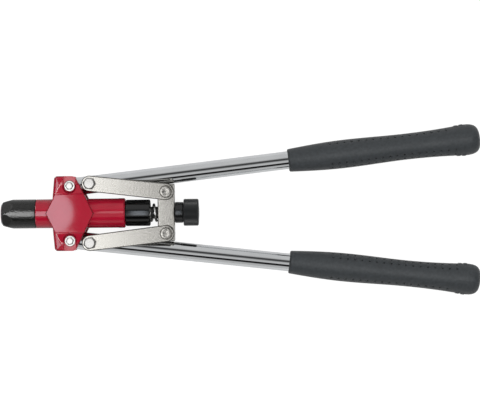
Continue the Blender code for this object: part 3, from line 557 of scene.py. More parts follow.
def rounded(corners: Sequence[Corner], closed: bool = True, steps: int = 4) -> list[Place]:
    """Rounds the corners of an outline.

    Args:
        corners: Points, each with the radius of its rounding as a third number if it has one.
        closed: Whether the last point joins the first.
        steps: How many parts each rounding is cut into.

    Returns:
        Points, each with 1 as a third number where it lies on a rounding.
    """
    points: list[Place] = []
    for n, corner in enumerate(corners):
        here = Vector(corner[:2])
        inside = closed or 0 < n < len(corners) - 1
        if len(corner) < 3 or not inside:
            points.append((here.x, here.y, 0.0))
            continue
        before = Vector(corners[n - 1][:2]) - here
        after = Vector(corners[(n + 1) % len(corners)][:2]) - here
        reach = corner[2] / math.tan(before.angle(after) / 2)
        reach = min(reach, SIDE_SHARE * before.length, SIDE_SHARE * after.length)
        start, end = here + before.normalized() * reach, here + after.normalized() * reach
        for k in range(steps + 1):
            t = k / steps
            spot = start * (1 - t) ** 2 + here * (2 * t * (1 - t)) + end * t**2
            points.append((spot.x, spot.y, math.sin(math.pi * t)))
    return points


def inset(corners: Sequence[Corner], depth: float) -> list[Corner]:
    """Moves the sides of a closed outline inward.

    Args:
        corners: Points, each with the radius of its rounding as a third number if it has one.
        depth: How far the sides move.

    Returns:
        The moved points, with their radii less the depth.
    """
    made: list[Corner] = []
    for n, corner in enumerate(corners):
        here = Vector(corner[:2])
        before = (Vector(corners[n - 1][:2]) - here).normalized()
        after = (Vector(corners[(n + 1) % len(corners)][:2]) - here).normalized()
        spot = here + (before + after).normalized() * depth / math.sin(before.angle(after) / 2)
        made.append((*spot, *(max(radius - depth, 0.0) for radius in corner[2:])))
    return made


class Form:
    """A mesh under construction. What adds to it gives it back, to go on with."""

    def __init__(self, name: str) -> None:
        """Starts an empty mesh of the piece's name."""
        self.name, self.work = name, bmesh.new()
        self.worn = self.work.verts.layers.float.new(SHADING_AND_WEAR)

    def ring(self, points: Iterable[Sequence[float]], worn: float | Sequence[float] = 0.0) -> Ring:
        """Adds a ring of points.

        Args:
            points: The ring's points.
            worn: How far the ring, or each of its points, is marked for wear and painted edge
                shading, from 0 to 1.

        Returns:
            The new vertices.
        """
        made = [self.work.verts.new(p) for p in points]
        for vertex, share in zip(made, each(worn, len(made))):
            vertex[self.worn] = share
        return made

    def hoop(
        self,
        turns: Sequence[float],
        out: float | Sequence[float],
        level: float | Sequence[float],
        worn: float | Sequence[float] = 0.0,
    ) -> Ring:
        """Adds a ring about Z. Distance, height and the mark for wear and painted shading are one
        number or one for each point.
        """
        places = zip(turns, each(out, len(turns)), each(level, len(turns)))
        return self.ring([(r * math.cos(a), r * math.sin(a), z) for a, r, z in places], worn)

    def skin(self, rings: Sequence[Ring], closed: bool = False) -> "Form":
        """Joins rings by faces, one after another. A ring of one point closes to it.

        Args:
            rings: Rings of the same count, or of one point.
            closed: Whether the last ring joins the first.

        Returns:
            The form.
        """
        ordered = [*rings, rings[0]] if closed else list(rings)
        for low, high in zip(ordered, ordered[1:]):
            count = max(len(low), len(high))
            for n in range(count):
                m = (n + 1) % count
                corners = [low[n % len(low)], low[m % len(low)]]
                corners += [high[m % len(high)], high[n % len(high)]]
                kept = list(dict.fromkeys(corners))
                if len(kept) > 2:
                    self.work.faces.new(kept)
        return self

    def turn(self, outline: Sequence[Corner], closed: bool = True) -> "Form":
        """Turns an outline about Z.

        Args:
            outline: Points along Z and out from it, each with its rounding if it has one.
            closed: Whether the outline is a loop, and so hollow in the middle.

        Returns:
            The form.
        """
        turns = angles(ROUND_STEPS)
        rings = []
        # Points on a rounding are marked for the finish's painted edge shading.
        for z, r, worn in rounded(outline, closed):
            rings.append(self.hoop(turns if r > WELD else [0.0], max(r, 0.0), z, worn))
        return self.skin(rings, closed)

    def hexagon(
        self, flats: float, low: float, high: float, turned_by: float = 0.0, hole: float = 0.0
    ) -> "Form":
        """Adds a hexagon head, or a nut if it has a hole, with chamfered corners.

        Args:
            flats: Its width across the flats.
            low: The level of its lower face.
            high: The level of its upper face.
            turned_by: The angle of its first corner.
            hole: The radius of its hole.

        Returns:
            The form.
        """
        crown, line, slope = 0.42 * flats, 0.02 * flats, math.tan(math.radians(30))
        turns = angles(ROUND_STEPS, turned_by)
        reach = [flats / 2 / math.cos((a - turned_by) % (math.pi / 3) - math.pi / 6) for a in turns]

        def level(inset: float, height: float, drop: float, worn: float = 0.0) -> Ring:
            """A ring that follows the hexagon, lower towards its corners."""
            out = [r - inset for r in reach]
            return self.hoop(turns, out, [height - drop * (r - crown) for r in out], worn)

        def disc(radius: float, height: float, worn: float = 0.0) -> Ring:
            """A round ring."""
            return self.hoop(turns, radius, height, worn)

        # The marks on the crown's circle and round the corners paint a dark outline of shade on the
        # head.
        rings = [disc(crown - line, high), disc(crown, high - 0.02 * MM, 0.6)]
        rings += [disc(crown + line, high - slope * line), level(2 * line, high, slope)]
        rings += [level(0.06 * MM, high, slope, 1.0)]
        rings += [level(0.0, high - 0.05 * MM, slope, 1.0), level(0.0, high - 0.6 * MM, slope, 0.2)]
        if not hole:
            rings += [level(0.0, low, 0.0)]
            return self.skin([self.ring([(0.0, 0.0, high)]), *rings, self.ring([(0.0, 0.0, low)])])
        rings += [level(0.0, low + 0.1 * MM, -slope), disc(crown, low)]
        lead = 0.5 * MM
        rings += [disc(hole + lead, low), disc(hole, low + lead), disc(hole, high - lead)]
        return self.skin([*rings, disc(hole + lead, high)], closed=True)

    def tidy(self) -> None:
        """Joins points that coincide and turns every face outward."""
        bmesh.ops.remove_doubles(self.work, verts=self.work.verts, dist=WELD)
        bmesh.ops.recalc_face_normals(self.work, faces=self.work.faces)

    def split(self, point: Sequence[float], across: Sequence[float]) -> None:
        """Cuts the faces along a plane through a point."""
        whole = [*self.work.verts, *self.work.edges, *self.work.faces]
        bmesh.ops.bisect_plane(self.work, geom=whole, plane_co=point, plane_no=across)

    def soften(self, width: float, angle: float, steps: int = 3) -> "Form":
        """Rounds every edge that turns by more than an angle.

        Args:
            width: The rounding's width.
            angle: The least angle between the faces, in degrees.
            steps: How many parts the rounding is cut into.

        Returns:
            The form.
        """
        self.tidy()
        sharp = [e for e in self.work.edges if e.calc_face_angle(0.0) > math.radians(angle)]
        shape = {"offset": width, "offset_type": "OFFSET", "segments": steps, "profile": 0.5}
        made = bmesh.ops.bevel(self.work, geom=sharp, affect="EDGES", clamp_overlap=True, **shape)
        rounding = set(made["faces"])
        # Points inside the rounding are marked for the finish's painted edge shading.
        for vertex in made["verts"]:
            vertex[self.worn] = float(rounding.issuperset(vertex.link_faces))
        return self

    def sheet(
        self, loops: Sequence[Sequence[Point]], low: float, high: float, edge: float = 0.0
    ) -> "Form":
        """Adds a flat plate.

        Args:
            loops: The outline of its flat face, and the holes in it.
            low: The level of its lower face.
            high: The level of its upper face.
            edge: How far its sides bulge past the flat face, as the radius of their rounding.

        Returns:
            The form.
        """
        guide = bpy.data.curves.new(self.name, "CURVE")
        guide.dimensions = "2D"
        guide.fill_mode = "BOTH"
        guide.extrude = (high - low) / 2 - edge
        guide.bevel_depth = edge
        guide.bevel_resolution = 3
        for loop in loops:
            line = guide.splines.new("POLY")
            line.points.add(len(loop) - 1)
            line.points.foreach_set("co", [c for x, y in loop for c in (x, y, 0.0, 1.0)])
            line.use_cyclic_u = True
        holder = bpy.data.objects.new(self.name, guide)
        mesh = bpy.data.meshes.new_from_object(holder)
        mesh.transform(moved(z=(low + high) / 2))
        self.work.from_mesh(mesh)
        bpy.data.objects.remove(holder)
        bpy.data.curves.remove(guide)
        bpy.data.meshes.remove(mesh)
        bmesh.ops.remove_doubles(self.work, verts=self.work.verts, dist=WELD)
        # Points on the rounded sides are marked for the finish's painted edge shading.
        for vertex in self.work.verts if edge else ():
            depth = min(high - vertex.co.z, vertex.co.z - low)
            vertex[self.worn] = float(WELD < depth < edge - WELD)
        return self

    def piece(
        self, place: Matrix | None = None, smooth_to: float = 30.0, flat: bool = False
    ) -> Piece:
        """Ends the mesh and makes its object.

        Args:
            place: Where the piece goes in the frame.
            smooth_to: The angle in degrees up to which neighbouring faces are shaded as one.
            flat: Whether large faces keep their own shading beside rounded edges.

        Returns:
            The new object, with its place in its mesh.
        """
        self.tidy()
        self.work.transform(place or Matrix.Identity(4))
        mesh = bpy.data.meshes.new(self.name)
        self.work.to_mesh(mesh)
        self.work.free()
        return stand(self.name, mesh, smooth_to, flat)


def shown(name: str, data: bpy.types.ID) -> Piece:
    """Puts data into the scene as an object of its own.

    Args:
        name: The object's name.
        data: Its mesh, lamp or camera.

    Returns:
        The object.
    """
    made = bpy.data.objects.new(name, data)
    bpy.context.scene.collection.objects.link(made)
    return made


def stand(name: str, mesh: bpy.types.Mesh, smooth_to: float, flat: bool) -> Piece:
    """Shades a mesh and puts it into the scene.

    Args:
        name: The object's name.
        mesh: Its mesh.
        smooth_to: The angle in degrees up to which neighbouring faces are shaded as one.
        flat: Whether large faces keep their own shading beside rounded edges.

    Returns:
        The object.
    """
    mesh.shade_smooth()
    mesh.set_sharp_from_angle(angle=math.radians(smooth_to))
    made = shown(name, mesh)
    if flat:
        even = made.modifiers.new("flat_faces", "WEIGHTED_NORMAL")
        even.weight = 100
        even.keep_sharp = True
    return made


class Cut(Enum):
    """How one solid is worked into another."""

    ADD = "UNION"
    REMOVE = "DIFFERENCE"
    KEEP_COMMON = "INTERSECT"


def work_in(piece: Piece, other: Piece, cut: Cut) -> None:
    """Works a solid into a piece and removes the solid.

    Args:
        piece: The piece that changes.
        other: The solid that is added or taken away.
        cut: How it is worked in.
    """
    step = piece.modifiers.new(cut.name.lower(), "BOOLEAN")
    step.operation = cut.value
    step.solver = "MANIFOLD"
    step.object = other
    bpy.context.view_layer.update()
    result = piece.evaluated_get(bpy.context.evaluated_depsgraph_get())
    mesh = bpy.data.meshes.new_from_object(result)
    piece.modifiers.clear()
    piece.data = mesh
    bpy.data.objects.remove(other)


def settle(piece: Piece, place: Matrix, smooth_to: float = 30.0, flat: bool = False) -> Piece:
    """Moves a cut piece into the frame and shades it again.

    Args:
        piece: The piece in its own axes.
        place: Where it goes in the frame.
        smooth_to: The angle in degrees up to which neighbouring faces are shaded as one.
        flat: Whether its flat faces are made whole again and keep their own shading.

    Returns:
        The new object, with its place in its mesh.
    """
    name, mesh = piece.name, piece.data
    mesh.transform(place)
    bpy.data.objects.remove(piece)
    if flat:
        work = bmesh.new()
        work.from_mesh(mesh)
        bmesh.ops.remove_doubles(work, verts=work.verts, dist=WELD)
        bmesh.ops.dissolve_limit(work, angle_limit=FLAT_TO, verts=work.verts, edges=work.edges)
        work.to_mesh(mesh)
        work.free()
    return stand(name, mesh, smooth_to, flat)


def dress(piece: Piece, finish: Finish) -> None:
    """Gives a piece its finish."""
    piece.data.materials.clear()
    piece.data.materials.append(finish.material())


def fit(piece: Piece, body: str, finish: Finish, *nodes: str) -> Piece:
    """Dresses a piece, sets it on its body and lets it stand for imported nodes.

    Args:
        piece: The finished piece.
        body: The body that it moves with.
        finish: Its finish.
        nodes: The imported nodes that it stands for.

    Returns:
        The piece.
    """
    dress(piece, finish)
    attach(piece, body)
    if nodes:
        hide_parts(*nodes)
    LOG.info("%s: %s on %s", piece.name, finish.name, body)
    return piece


class SubAssembly(ABC):
    """Pieces that are made and dressed together."""

    @abstractmethod
    def build(self) -> None:
        """Makes every piece of the sub-assembly."""


# Sub-assemblies


@dataclass
class Casting(SubAssembly):
    """The red body: slotted ears, raised diamond, front collar and rear tube."""

    half_depth: float = 15.5 * MM
    ear_depth: float = 12.6 * MM
    ear_height: float = 33.5 * MM
    ear_tip: float = 13.7 * MM
    ear_front: float = 15.4 * MM
    ear_foot: float = 14.0 * MM
    ear_edge: float = 2.2 * MM
    ear_corner: float = 5.5 * MM
    front_corner: float = 3.2 * MM
    deep_from: float = 2.0 * MM
    deep_run: float = 7.0 * MM
    deep_share: float = 0.35
    rim_share: float = 0.55
    bend_share: float = 0.4
    diamond_width: float = 21.5 * MM
    diamond_angle: float = math.radians(63.8)
    diamond_edge: float = 0.9 * MM
    flat_to: float = math.radians(0.5)
    proud: float = 0.25 * MM
    plateau: float = 17.4 * MM
    shoulder: float = 8.8 * MM
    collar_radius: float = 13.0 * MM
    collar_reach: float = 31.0 * MM
    tube_radius: float = 13.35 * MM
    tube_reach: float = 49.0 * MM
    tube_lead: float = 0.9 * MM
    bore_ends: tuple[float, ...] = (60.0, 33.0, -13.6, -18.0, -40.0)
    bore_radii: tuple[float, ...] = (0.0, 10.3, 5.8, 9.15, 10.7, 0.0)
    pivot: float = 24.6 * MM
    slot_half: float = 8.3 * MM
    slot_corner: float = 1.0 * MM
    past_ear: float = 9.0 * MM
    sweep: float = 11.46 * MM
    pocket_radius: float = 5.15 * MM
    pocket_floor: float = 10.8 * MM
    pocket_flare: float = 0.42
    bowl_steps: int = 40
    hole_radius: float = 3.3 * MM

    def edge_at(self, height: float) -> float:
        """Half the diamond's width at a height across the tool."""
        return self.diamond_width - height / math.tan(self.diamond_angle)

    def ears(self) -> Piece:
        """Makes both ears as one rounded plate, with painted shade towards the front and on its
        rim.

        Returns:
            The plate.
        """
        end = self.edge_at(self.ear_height) - self.proud
        corners = [
            (self.diamond_width - self.proud, 0.0),
            (end, self.ear_height, self.ear_corner),
            (-self.ear_tip, self.ear_height, self.front_corner),
            (-self.ear_front, self.ear_foot),
            (-self.ear_front, -self.ear_foot),
            (-self.ear_tip, -self.ear_height, self.front_corner),
            (end, -self.ear_height, self.ear_corner),
        ]
        outline = [(x, y) for x, y, _ in rounded(inset(corners, self.ear_edge), True, 10)]
        form = Form("casting").sheet([outline], -self.ear_depth, self.ear_depth, self.ear_edge)
        for place in (self.deep_from, self.deep_from + self.deep_run):
            form.split((-place, 0.0, 0.0), (1.0, 0.0, 0.0))
        # Painted shade darkens the front of each ear and its rim.
        for vertex in form.work.verts:
            share = min(max((-vertex.co.x - self.deep_from) / self.deep_run, 0.0), 1.0)
            rim = self.rim_share * vertex[form.worn]
            vertex[form.worn] = max(rim, self.deep_share * share)
        return form.piece()

    def diamond(self) -> Piece:
        """Makes the raised diamond, which falls by a shoulder to each ear.

        Its edges carry painted shade, and a painted highlight on the shoulders towards the front.

        Returns:
            The diamond.
        """
        top = self.ear_height - self.ear_corner
        half = [(self.diamond_width, 0.0), (self.edge_at(top), top), (-self.edge_at(top), top)]
        outline = half + [(-x, -y) for x, y in half]
        made = Form("diamond").sheet([outline], -2 * self.half_depth, 2 * self.half_depth).piece()
        ear, foot = self.ear_depth + self.proud, self.plateau + self.shoulder
        quarter = [(foot + 2 * self.ear_corner, ear), (foot, ear), (self.plateau, self.half_depth)]
        roof = quarter + [(-y, z) for y, z in reversed(quarter)]
        roof += [(y, -z) for y, z in reversed(roof)]
        solid = Form("roof").sheet([roof], -2 * self.diamond_width, 2 * self.diamond_width)
        across = Matrix.Rotation(math.pi / 2, 4, "Z") @ Matrix.Rotation(math.pi / 2, 4, "X")
        work_in(made, solid.piece(across), Cut.KEEP_COMMON)
        form = Form("diamond")
        work, edge = form.work, self.diamond_edge
        work.from_mesh(made.data)
        bpy.data.objects.remove(made)
        bmesh.ops.dissolve_limit(work, angle_limit=self.flat_to, verts=work.verts, edges=work.edges)
        form.soften(edge, 10.0, 4)
        reach = self.diamond_width * math.sin(self.diamond_angle) - 2.2 * edge
        for turn in (self.diamond_angle, -self.diamond_angle):
            for sign in (-1.0, 1.0):
                out = Vector((sign * math.sin(turn), sign * math.cos(turn), 0.0))
                form.split(out * reach, out)
        # The edges' painted shade is weakened on the bends and away from the outline, and turns to
        # a painted highlight on the front shoulders.
        for vertex in work.verts:
            past_bend = abs(vertex.co.y) - self.plateau
            on_bend = -1.2 * edge < past_bend < 0.3 * edge
            if on_bend or self.edge_at(abs(vertex.co.y)) - abs(vertex.co.x) > 2 * edge:
                vertex[form.worn] *= self.bend_share
            elif past_bend > 0.0 and vertex.co.x < 0.0:
                vertex[form.worn] *= -1.0
        return form.piece()

    def openings(self, side: Side) -> list[Piece]:
        """Makes what is cut out of one ear: slot, pivot hole and two spot faces.

        Args:
            side: The ear's side.

        Returns:
            The solids to cut away.
        """
        sign = side.value
        middle = moved(y=sign * self.pivot)
        floor, far = -sign * self.sweep, sign * 2 * self.ear_corner + sign * self.past_ear
        rear, deep = 2 * self.diamond_width, 2 * self.half_depth
        front = (-self.sweep, far), (-self.sweep, floor, self.slot_corner)
        corners = [*front, (rear, floor), (rear, far)]
        outline = [(x, y) for x, y, _ in rounded(corners)]
        slot = Form("slot").sheet([outline], -self.slot_half, self.slot_half)
        hole = Form("hole").sheet([circle((0.0, 0.0), self.hole_radius)], -deep, deep)
        made = [slot.piece(middle), hole.piece(middle)]
        for face in Face:
            pocket = Form("pocket")
            rings = []
            for rise in (0.0, 0.5 * self.half_depth):
                radius = self.pocket_radius + self.pocket_flare * rise
                bowl = arc((0.0, 0.0), radius, 0.0, -sign * math.pi, self.bowl_steps)
                level = face.value * (self.pocket_floor + rise)
                edge = [(radius, far), *bowl, (-radius, far)]
                rings.append(pocket.ring((x, y, level) for x, y in edge))
            pocket.skin(rings)
            for ring in rings:
                pocket.work.faces.new(ring)
            made.append(pocket.piece(middle))
        return made

    def build(self) -> None:
        """Makes the casting in one piece."""
        body = self.ears()
        work_in(body, self.diamond(), Cut.ADD)
        rim = self.tube_radius - self.tube_lead
        collar = [
            (-self.collar_reach, 0.0),
            (-self.collar_reach, self.collar_radius, 0.5 * MM),
            (0.0, self.collar_radius),
            (0.0, 0.0),
        ]
        tube = [
            (self.tube_reach, 0.0),
            (self.tube_reach, rim, 0.15 * MM),
            (self.tube_reach - self.tube_lead, self.tube_radius, EASED),
            (0.0, self.tube_radius),
            (0.0, 0.0),
        ]
        pairs = zip(self.bore_ends, zip(self.bore_radii, self.bore_radii[1:]))
        bore = [(end * MM, radius * MM) for end, radii in pairs for radius in radii]
        for outline, cut in ((collar, Cut.ADD), (tube, Cut.ADD), (bore, Cut.REMOVE)):
            work_in(body, Form("turned").turn(outline, False).piece(ALONG_X), cut)
        for side in Side:
            for opening in self.openings(side):
                work_in(body, opening, Cut.REMOVE)
        fit(settle(body, moved(z=AXIS_HEIGHT), 28.0, True), "tool_body", RED_ENAMEL, "main_body")


@dataclass
class Nose(SubAssembly):
    """The black nose, flattened to six sides at its tip, and the nosepiece in its mouth."""

    tip: float = -62.3 * MM
    length: float = 31.0 * MM
    radius: float = 13.0 * MM
    spigot_radius: float = 10.4 * MM
    spigot_length: float = 13.0 * MM
    flats_length: float = 10.4 * MM
    flats_half: float = 10.0 * MM
    corner_reach: float = 1.11
    face_radius: float = 8.4 * MM
    chamfer: float = 2.9 * MM
    soft: float = 0.25 * MM
    worn_width: float = 0.35 * MM
    wall: float = 12.0 * MM
    mouth_radius: float = 6.3 * MM
    case_radius: float = 9.15 * MM
    piece_radius: float = 6.0 * MM
    piece_bore: float = 2.15 * MM
    piece_front: float = 0.3 * MM
    piece_tail: float = 4.2 * MM
    tail_radius: float = 3.8 * MM
    lip_radius: float = 3.2 * MM
    lip_depth: float = 1.2 * MM
    steps: int = 144
    ring_pitch: float = 0.35 * MM
    ring_count: int = 36
    plain_cuts: tuple[float, ...] = (14.0 * MM, 20.0 * MM, 26.0 * MM)

    def skin_radius(self, along: float, angle: float) -> Point:
        """The outer skin at a place.

        Args:
            along: The distance behind the tip.
            angle: The angle about the axis, with a corner of the flats at 0.

        Returns:
            The radius, and how far the place lies on an edge, where wear and a painted highlight
            lighten it.
        """
        cone = self.face_radius + (self.radius - self.face_radius) * along / self.chamfer
        half = self.flats_half + (self.radius - self.flats_half) / self.flats_length * along
        off = angle % (math.pi / 3) - math.pi / 6
        six = half * min(1 / math.cos(off), self.corner_reach)
        low, middle, _ = sorted((cone, self.radius, six))
        near = min(middle - low, (math.pi / 6 - abs(off)) * half if six == low else 1.0)
        ease = max(self.soft - (middle - low), 0.0) / self.soft
        return low - ease * ease * self.soft / 4, 1 - smooth_step(near / self.worn_width)

    def shell(self) -> Piece:
        """Makes the nose with its flats, its bore and its spigot.

        Returns:
            The nose.
        """
        form = Form("nose_shell")
        turns = angles(self.steps)
        back, end, mouth = self.length, self.length + self.spigot_length, self.mouth_radius
        places = [self.ring_pitch * n for n in range(self.ring_count)]
        places += [*self.plain_cuts, back - 0.5 * MM]
        rings = []
        for place in places:
            radii, worn = zip(*(self.skin_radius(place, a) for a in turns))
            rings.append(form.hoop(turns, radii, place, worn))
        # The rims are marked for lighter edges, as wear and as a painted highlight.
        rest = [
            (back - 0.15 * MM, self.radius - 0.06 * MM, 1.0),
            (back, self.radius - 0.4 * MM, 0.0),
            (back, self.spigot_radius, 0.0),
            (end, self.spigot_radius, 0.0),
            (end, self.case_radius, 0.0),
            (self.wall, self.case_radius, 0.0),
            (self.wall, mouth, 0.0),
            (0.5 * MM, mouth, 0.0),
            (0.1 * MM, mouth + 0.3 * MM, 1.0),
            (0.0, mouth + 0.5 * MM, 0.0),
            (0.0, self.face_radius - 0.3 * MM, 0.3),
        ]
        rings += [form.hoop(turns, radius, along, worn) for along, radius, worn in rest]
        return form.skin(rings, closed=True).piece(along_axis(self.tip), 40.0)

    def build(self) -> None:
        """Makes the nose and its nosepiece."""
        fit(self.shell(), "tool_body", NOSE_BLACK, "nose_casing")
        front, back = self.piece_front, self.wall + self.piece_tail
        outline = [
            (back, self.tail_radius, EASED),
            (self.wall, self.piece_radius, EASED),
            (front, self.piece_radius, EASED),
            (front, self.lip_radius, 0.25 * MM),
            (front + self.lip_depth, self.piece_bore, EASED),
            (back, self.piece_bore, 0.2 * MM),
        ]
        piece = Form("mouth_piece").turn(outline).piece(along_axis(self.tip))
        fit(piece, "tool_body", SHAFT_STEEL, "nosepiece")


def shank(
    radius: float, end: float, lead: float = 0.5 * MM, drop: float = 0.45 * MM
) -> list[Corner]:
    """The outline of a bolt's end, with a chamfer of some length and depth."""
    return [(end + lead, radius), (end, radius - drop), (end, 0.0)]


@dataclass
class PivotBolts(SubAssembly):
    """The flanged bolts and nuts on which the levers turn."""

    spacing: float = 24.6 * MM
    seat: float = 11.1 * MM
    flange_radius: float = 4.75 * MM
    flange_height: float = 1.3 * MM
    hex_flats: float = 6.2 * MM
    head_height: float = 2.8 * MM
    shank_radius: float = 3.0 * MM
    nut_flats: float = 10.0 * MM
    nut_height: float = 3.2 * MM
    hole_gap: float = 0.1 * MM
    sink: float = 0.2 * MM

    def build(self) -> None:
        """Makes both bolts and their nuts."""
        top, low = self.seat + self.flange_height, -self.seat - self.nut_height
        outline = [
            (top, 0.0),
            (top, self.flange_radius, 0.35 * MM),
            (self.seat, self.flange_radius, 0.15 * MM),
            (self.seat, self.shank_radius),
            *shank(self.shank_radius, low),
        ]
        for side in Side:
            label, place = side.label, moved(y=side.value * self.spacing, z=AXIS_HEIGHT)
            bolt = Form(f"{label}_pivot_screw").turn(outline, False)
            bolt.hexagon(self.hex_flats, top - self.sink, top + self.head_height, HEAD_TURN[side])
            fit(bolt.piece(place), "tool_body", BOLT_ZINC, f"{label}_pivot_bolt")
            nut = Form(f"{label}_pivot_lock_nut")
            nut.hexagon(self.nut_flats, low, -self.seat, hole=self.shank_radius + self.hole_gap)
            fit(nut.piece(place), "tool_body", BOLT_ZINC, f"{label}_pivot_nut")


@dataclass
class Coil:
    """A compression spring whose first and last turns have a pitch of their own."""

    name: str
    radius: float
    wire: float
    start: float
    end: float
    turns: float
    end_pitch: float
    phase: float = 0.0
    steps: int = 40
    wire_steps: int = 20

    def path(self) -> list[Vector]:
        """Points along the wire's middle, about Z.

        Returns:
            The points.
        """
        count = round(self.turns * self.steps)
        open_pitch = (self.end - self.start - 2 * self.end_pitch) / (self.turns - 2)
        points = []
        for n in range(count + 1):
            turned = self.turns * n / count
            along = self.start + self.end_pitch * min(turned, 1.0)
            along += open_pitch * min(max(turned - 1.0, 0.0), self.turns - 2)
            along += self.end_pitch * max(turned - self.turns + 1.0, 0.0)
            a = FULL * turned + self.phase
            points.append(Vector((self.radius * math.cos(a), self.radius * math.sin(a), along)))
        return points

    def wound(self) -> Piece:
        """Makes the spring on the tool's axis.

        Returns:
            The spring as a mesh.
        """
        path = self.path()
        form = Form(self.name)
        rings = []
        for n, spot in enumerate(path):
            ahead = (path[min(n + 1, len(path) - 1)] - path[max(n - 1, 0)]).normalized()
            out = Vector((spot.x, spot.y, 0.0)).normalized()
            up = ahead.cross(out)
            section = circle((0.0, 0.0), self.wire / 2, self.wire_steps)
            rings.append(form.ring(spot + out * x + up * y for x, y in section))
        caps = [form.ring([path[0]]), form.ring([path[-1]])]
        return form.skin([caps[0], *rings, caps[1]]).piece(along_axis())


@dataclass
class StopSleeve(SubAssembly):
    """The glossy black sleeve behind the casting, and the return spring that it houses."""

    front: float = 49.3 * MM
    back: float = 71.4 * MM
    radius: float = 11.85 * MM
    edge: float = 0.8 * MM
    spigot_radius: float = 10.0 * MM
    spigot_length: float = 16.0 * MM
    spring_seat: float = 52.0 * MM
    spring_end: float = 78.0 * MM
    spring_bore: float = 8.75 * MM
    spindle_clear: float = 5.8 * MM
    travel: float = 5.63 * MM
    coil_radius: float = 7.15 * MM
    coil_start: float = 53.5 * MM
    coil_end: float = 77.0 * MM
    wire: float = 2.4 * MM
    turns: float = 5.0
    end_pitch: float = 4.7 * MM
    phase: float = -math.pi / 2

    def build(self) -> None:
        """Makes the sleeve and its spring."""
        start, rim = self.front - self.spigot_length, self.radius - self.edge
        outline = [
            (self.back, rim, EASED),
            (self.back - self.edge, self.radius, EASED),
            (self.front + self.edge, self.radius, EASED),
            (self.front, rim, EASED),
            (self.front, self.spigot_radius),
            (start, self.spigot_radius, 0.4 * MM),
            (start, self.spindle_clear),
            (self.spring_seat, self.spindle_clear),
            (self.spring_seat, self.spring_bore),
            (self.back, self.spring_bore, 0.4 * MM),
        ]
        sleeve = Form("sleeve").turn(outline).piece(along_axis())
        fit(sleeve, "tool_body", SLEEVE_BLACK, "stop_sleeve")
        ends, winding = (self.coil_start, self.coil_end), (self.turns, self.end_pitch, self.phase)
        coil = Coil("return_coil", self.coil_radius, self.wire, *ends, *winding)
        spring = fit(coil.wound(), "tool_body", SPRING_STEEL, "return_spring")
        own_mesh(spring)


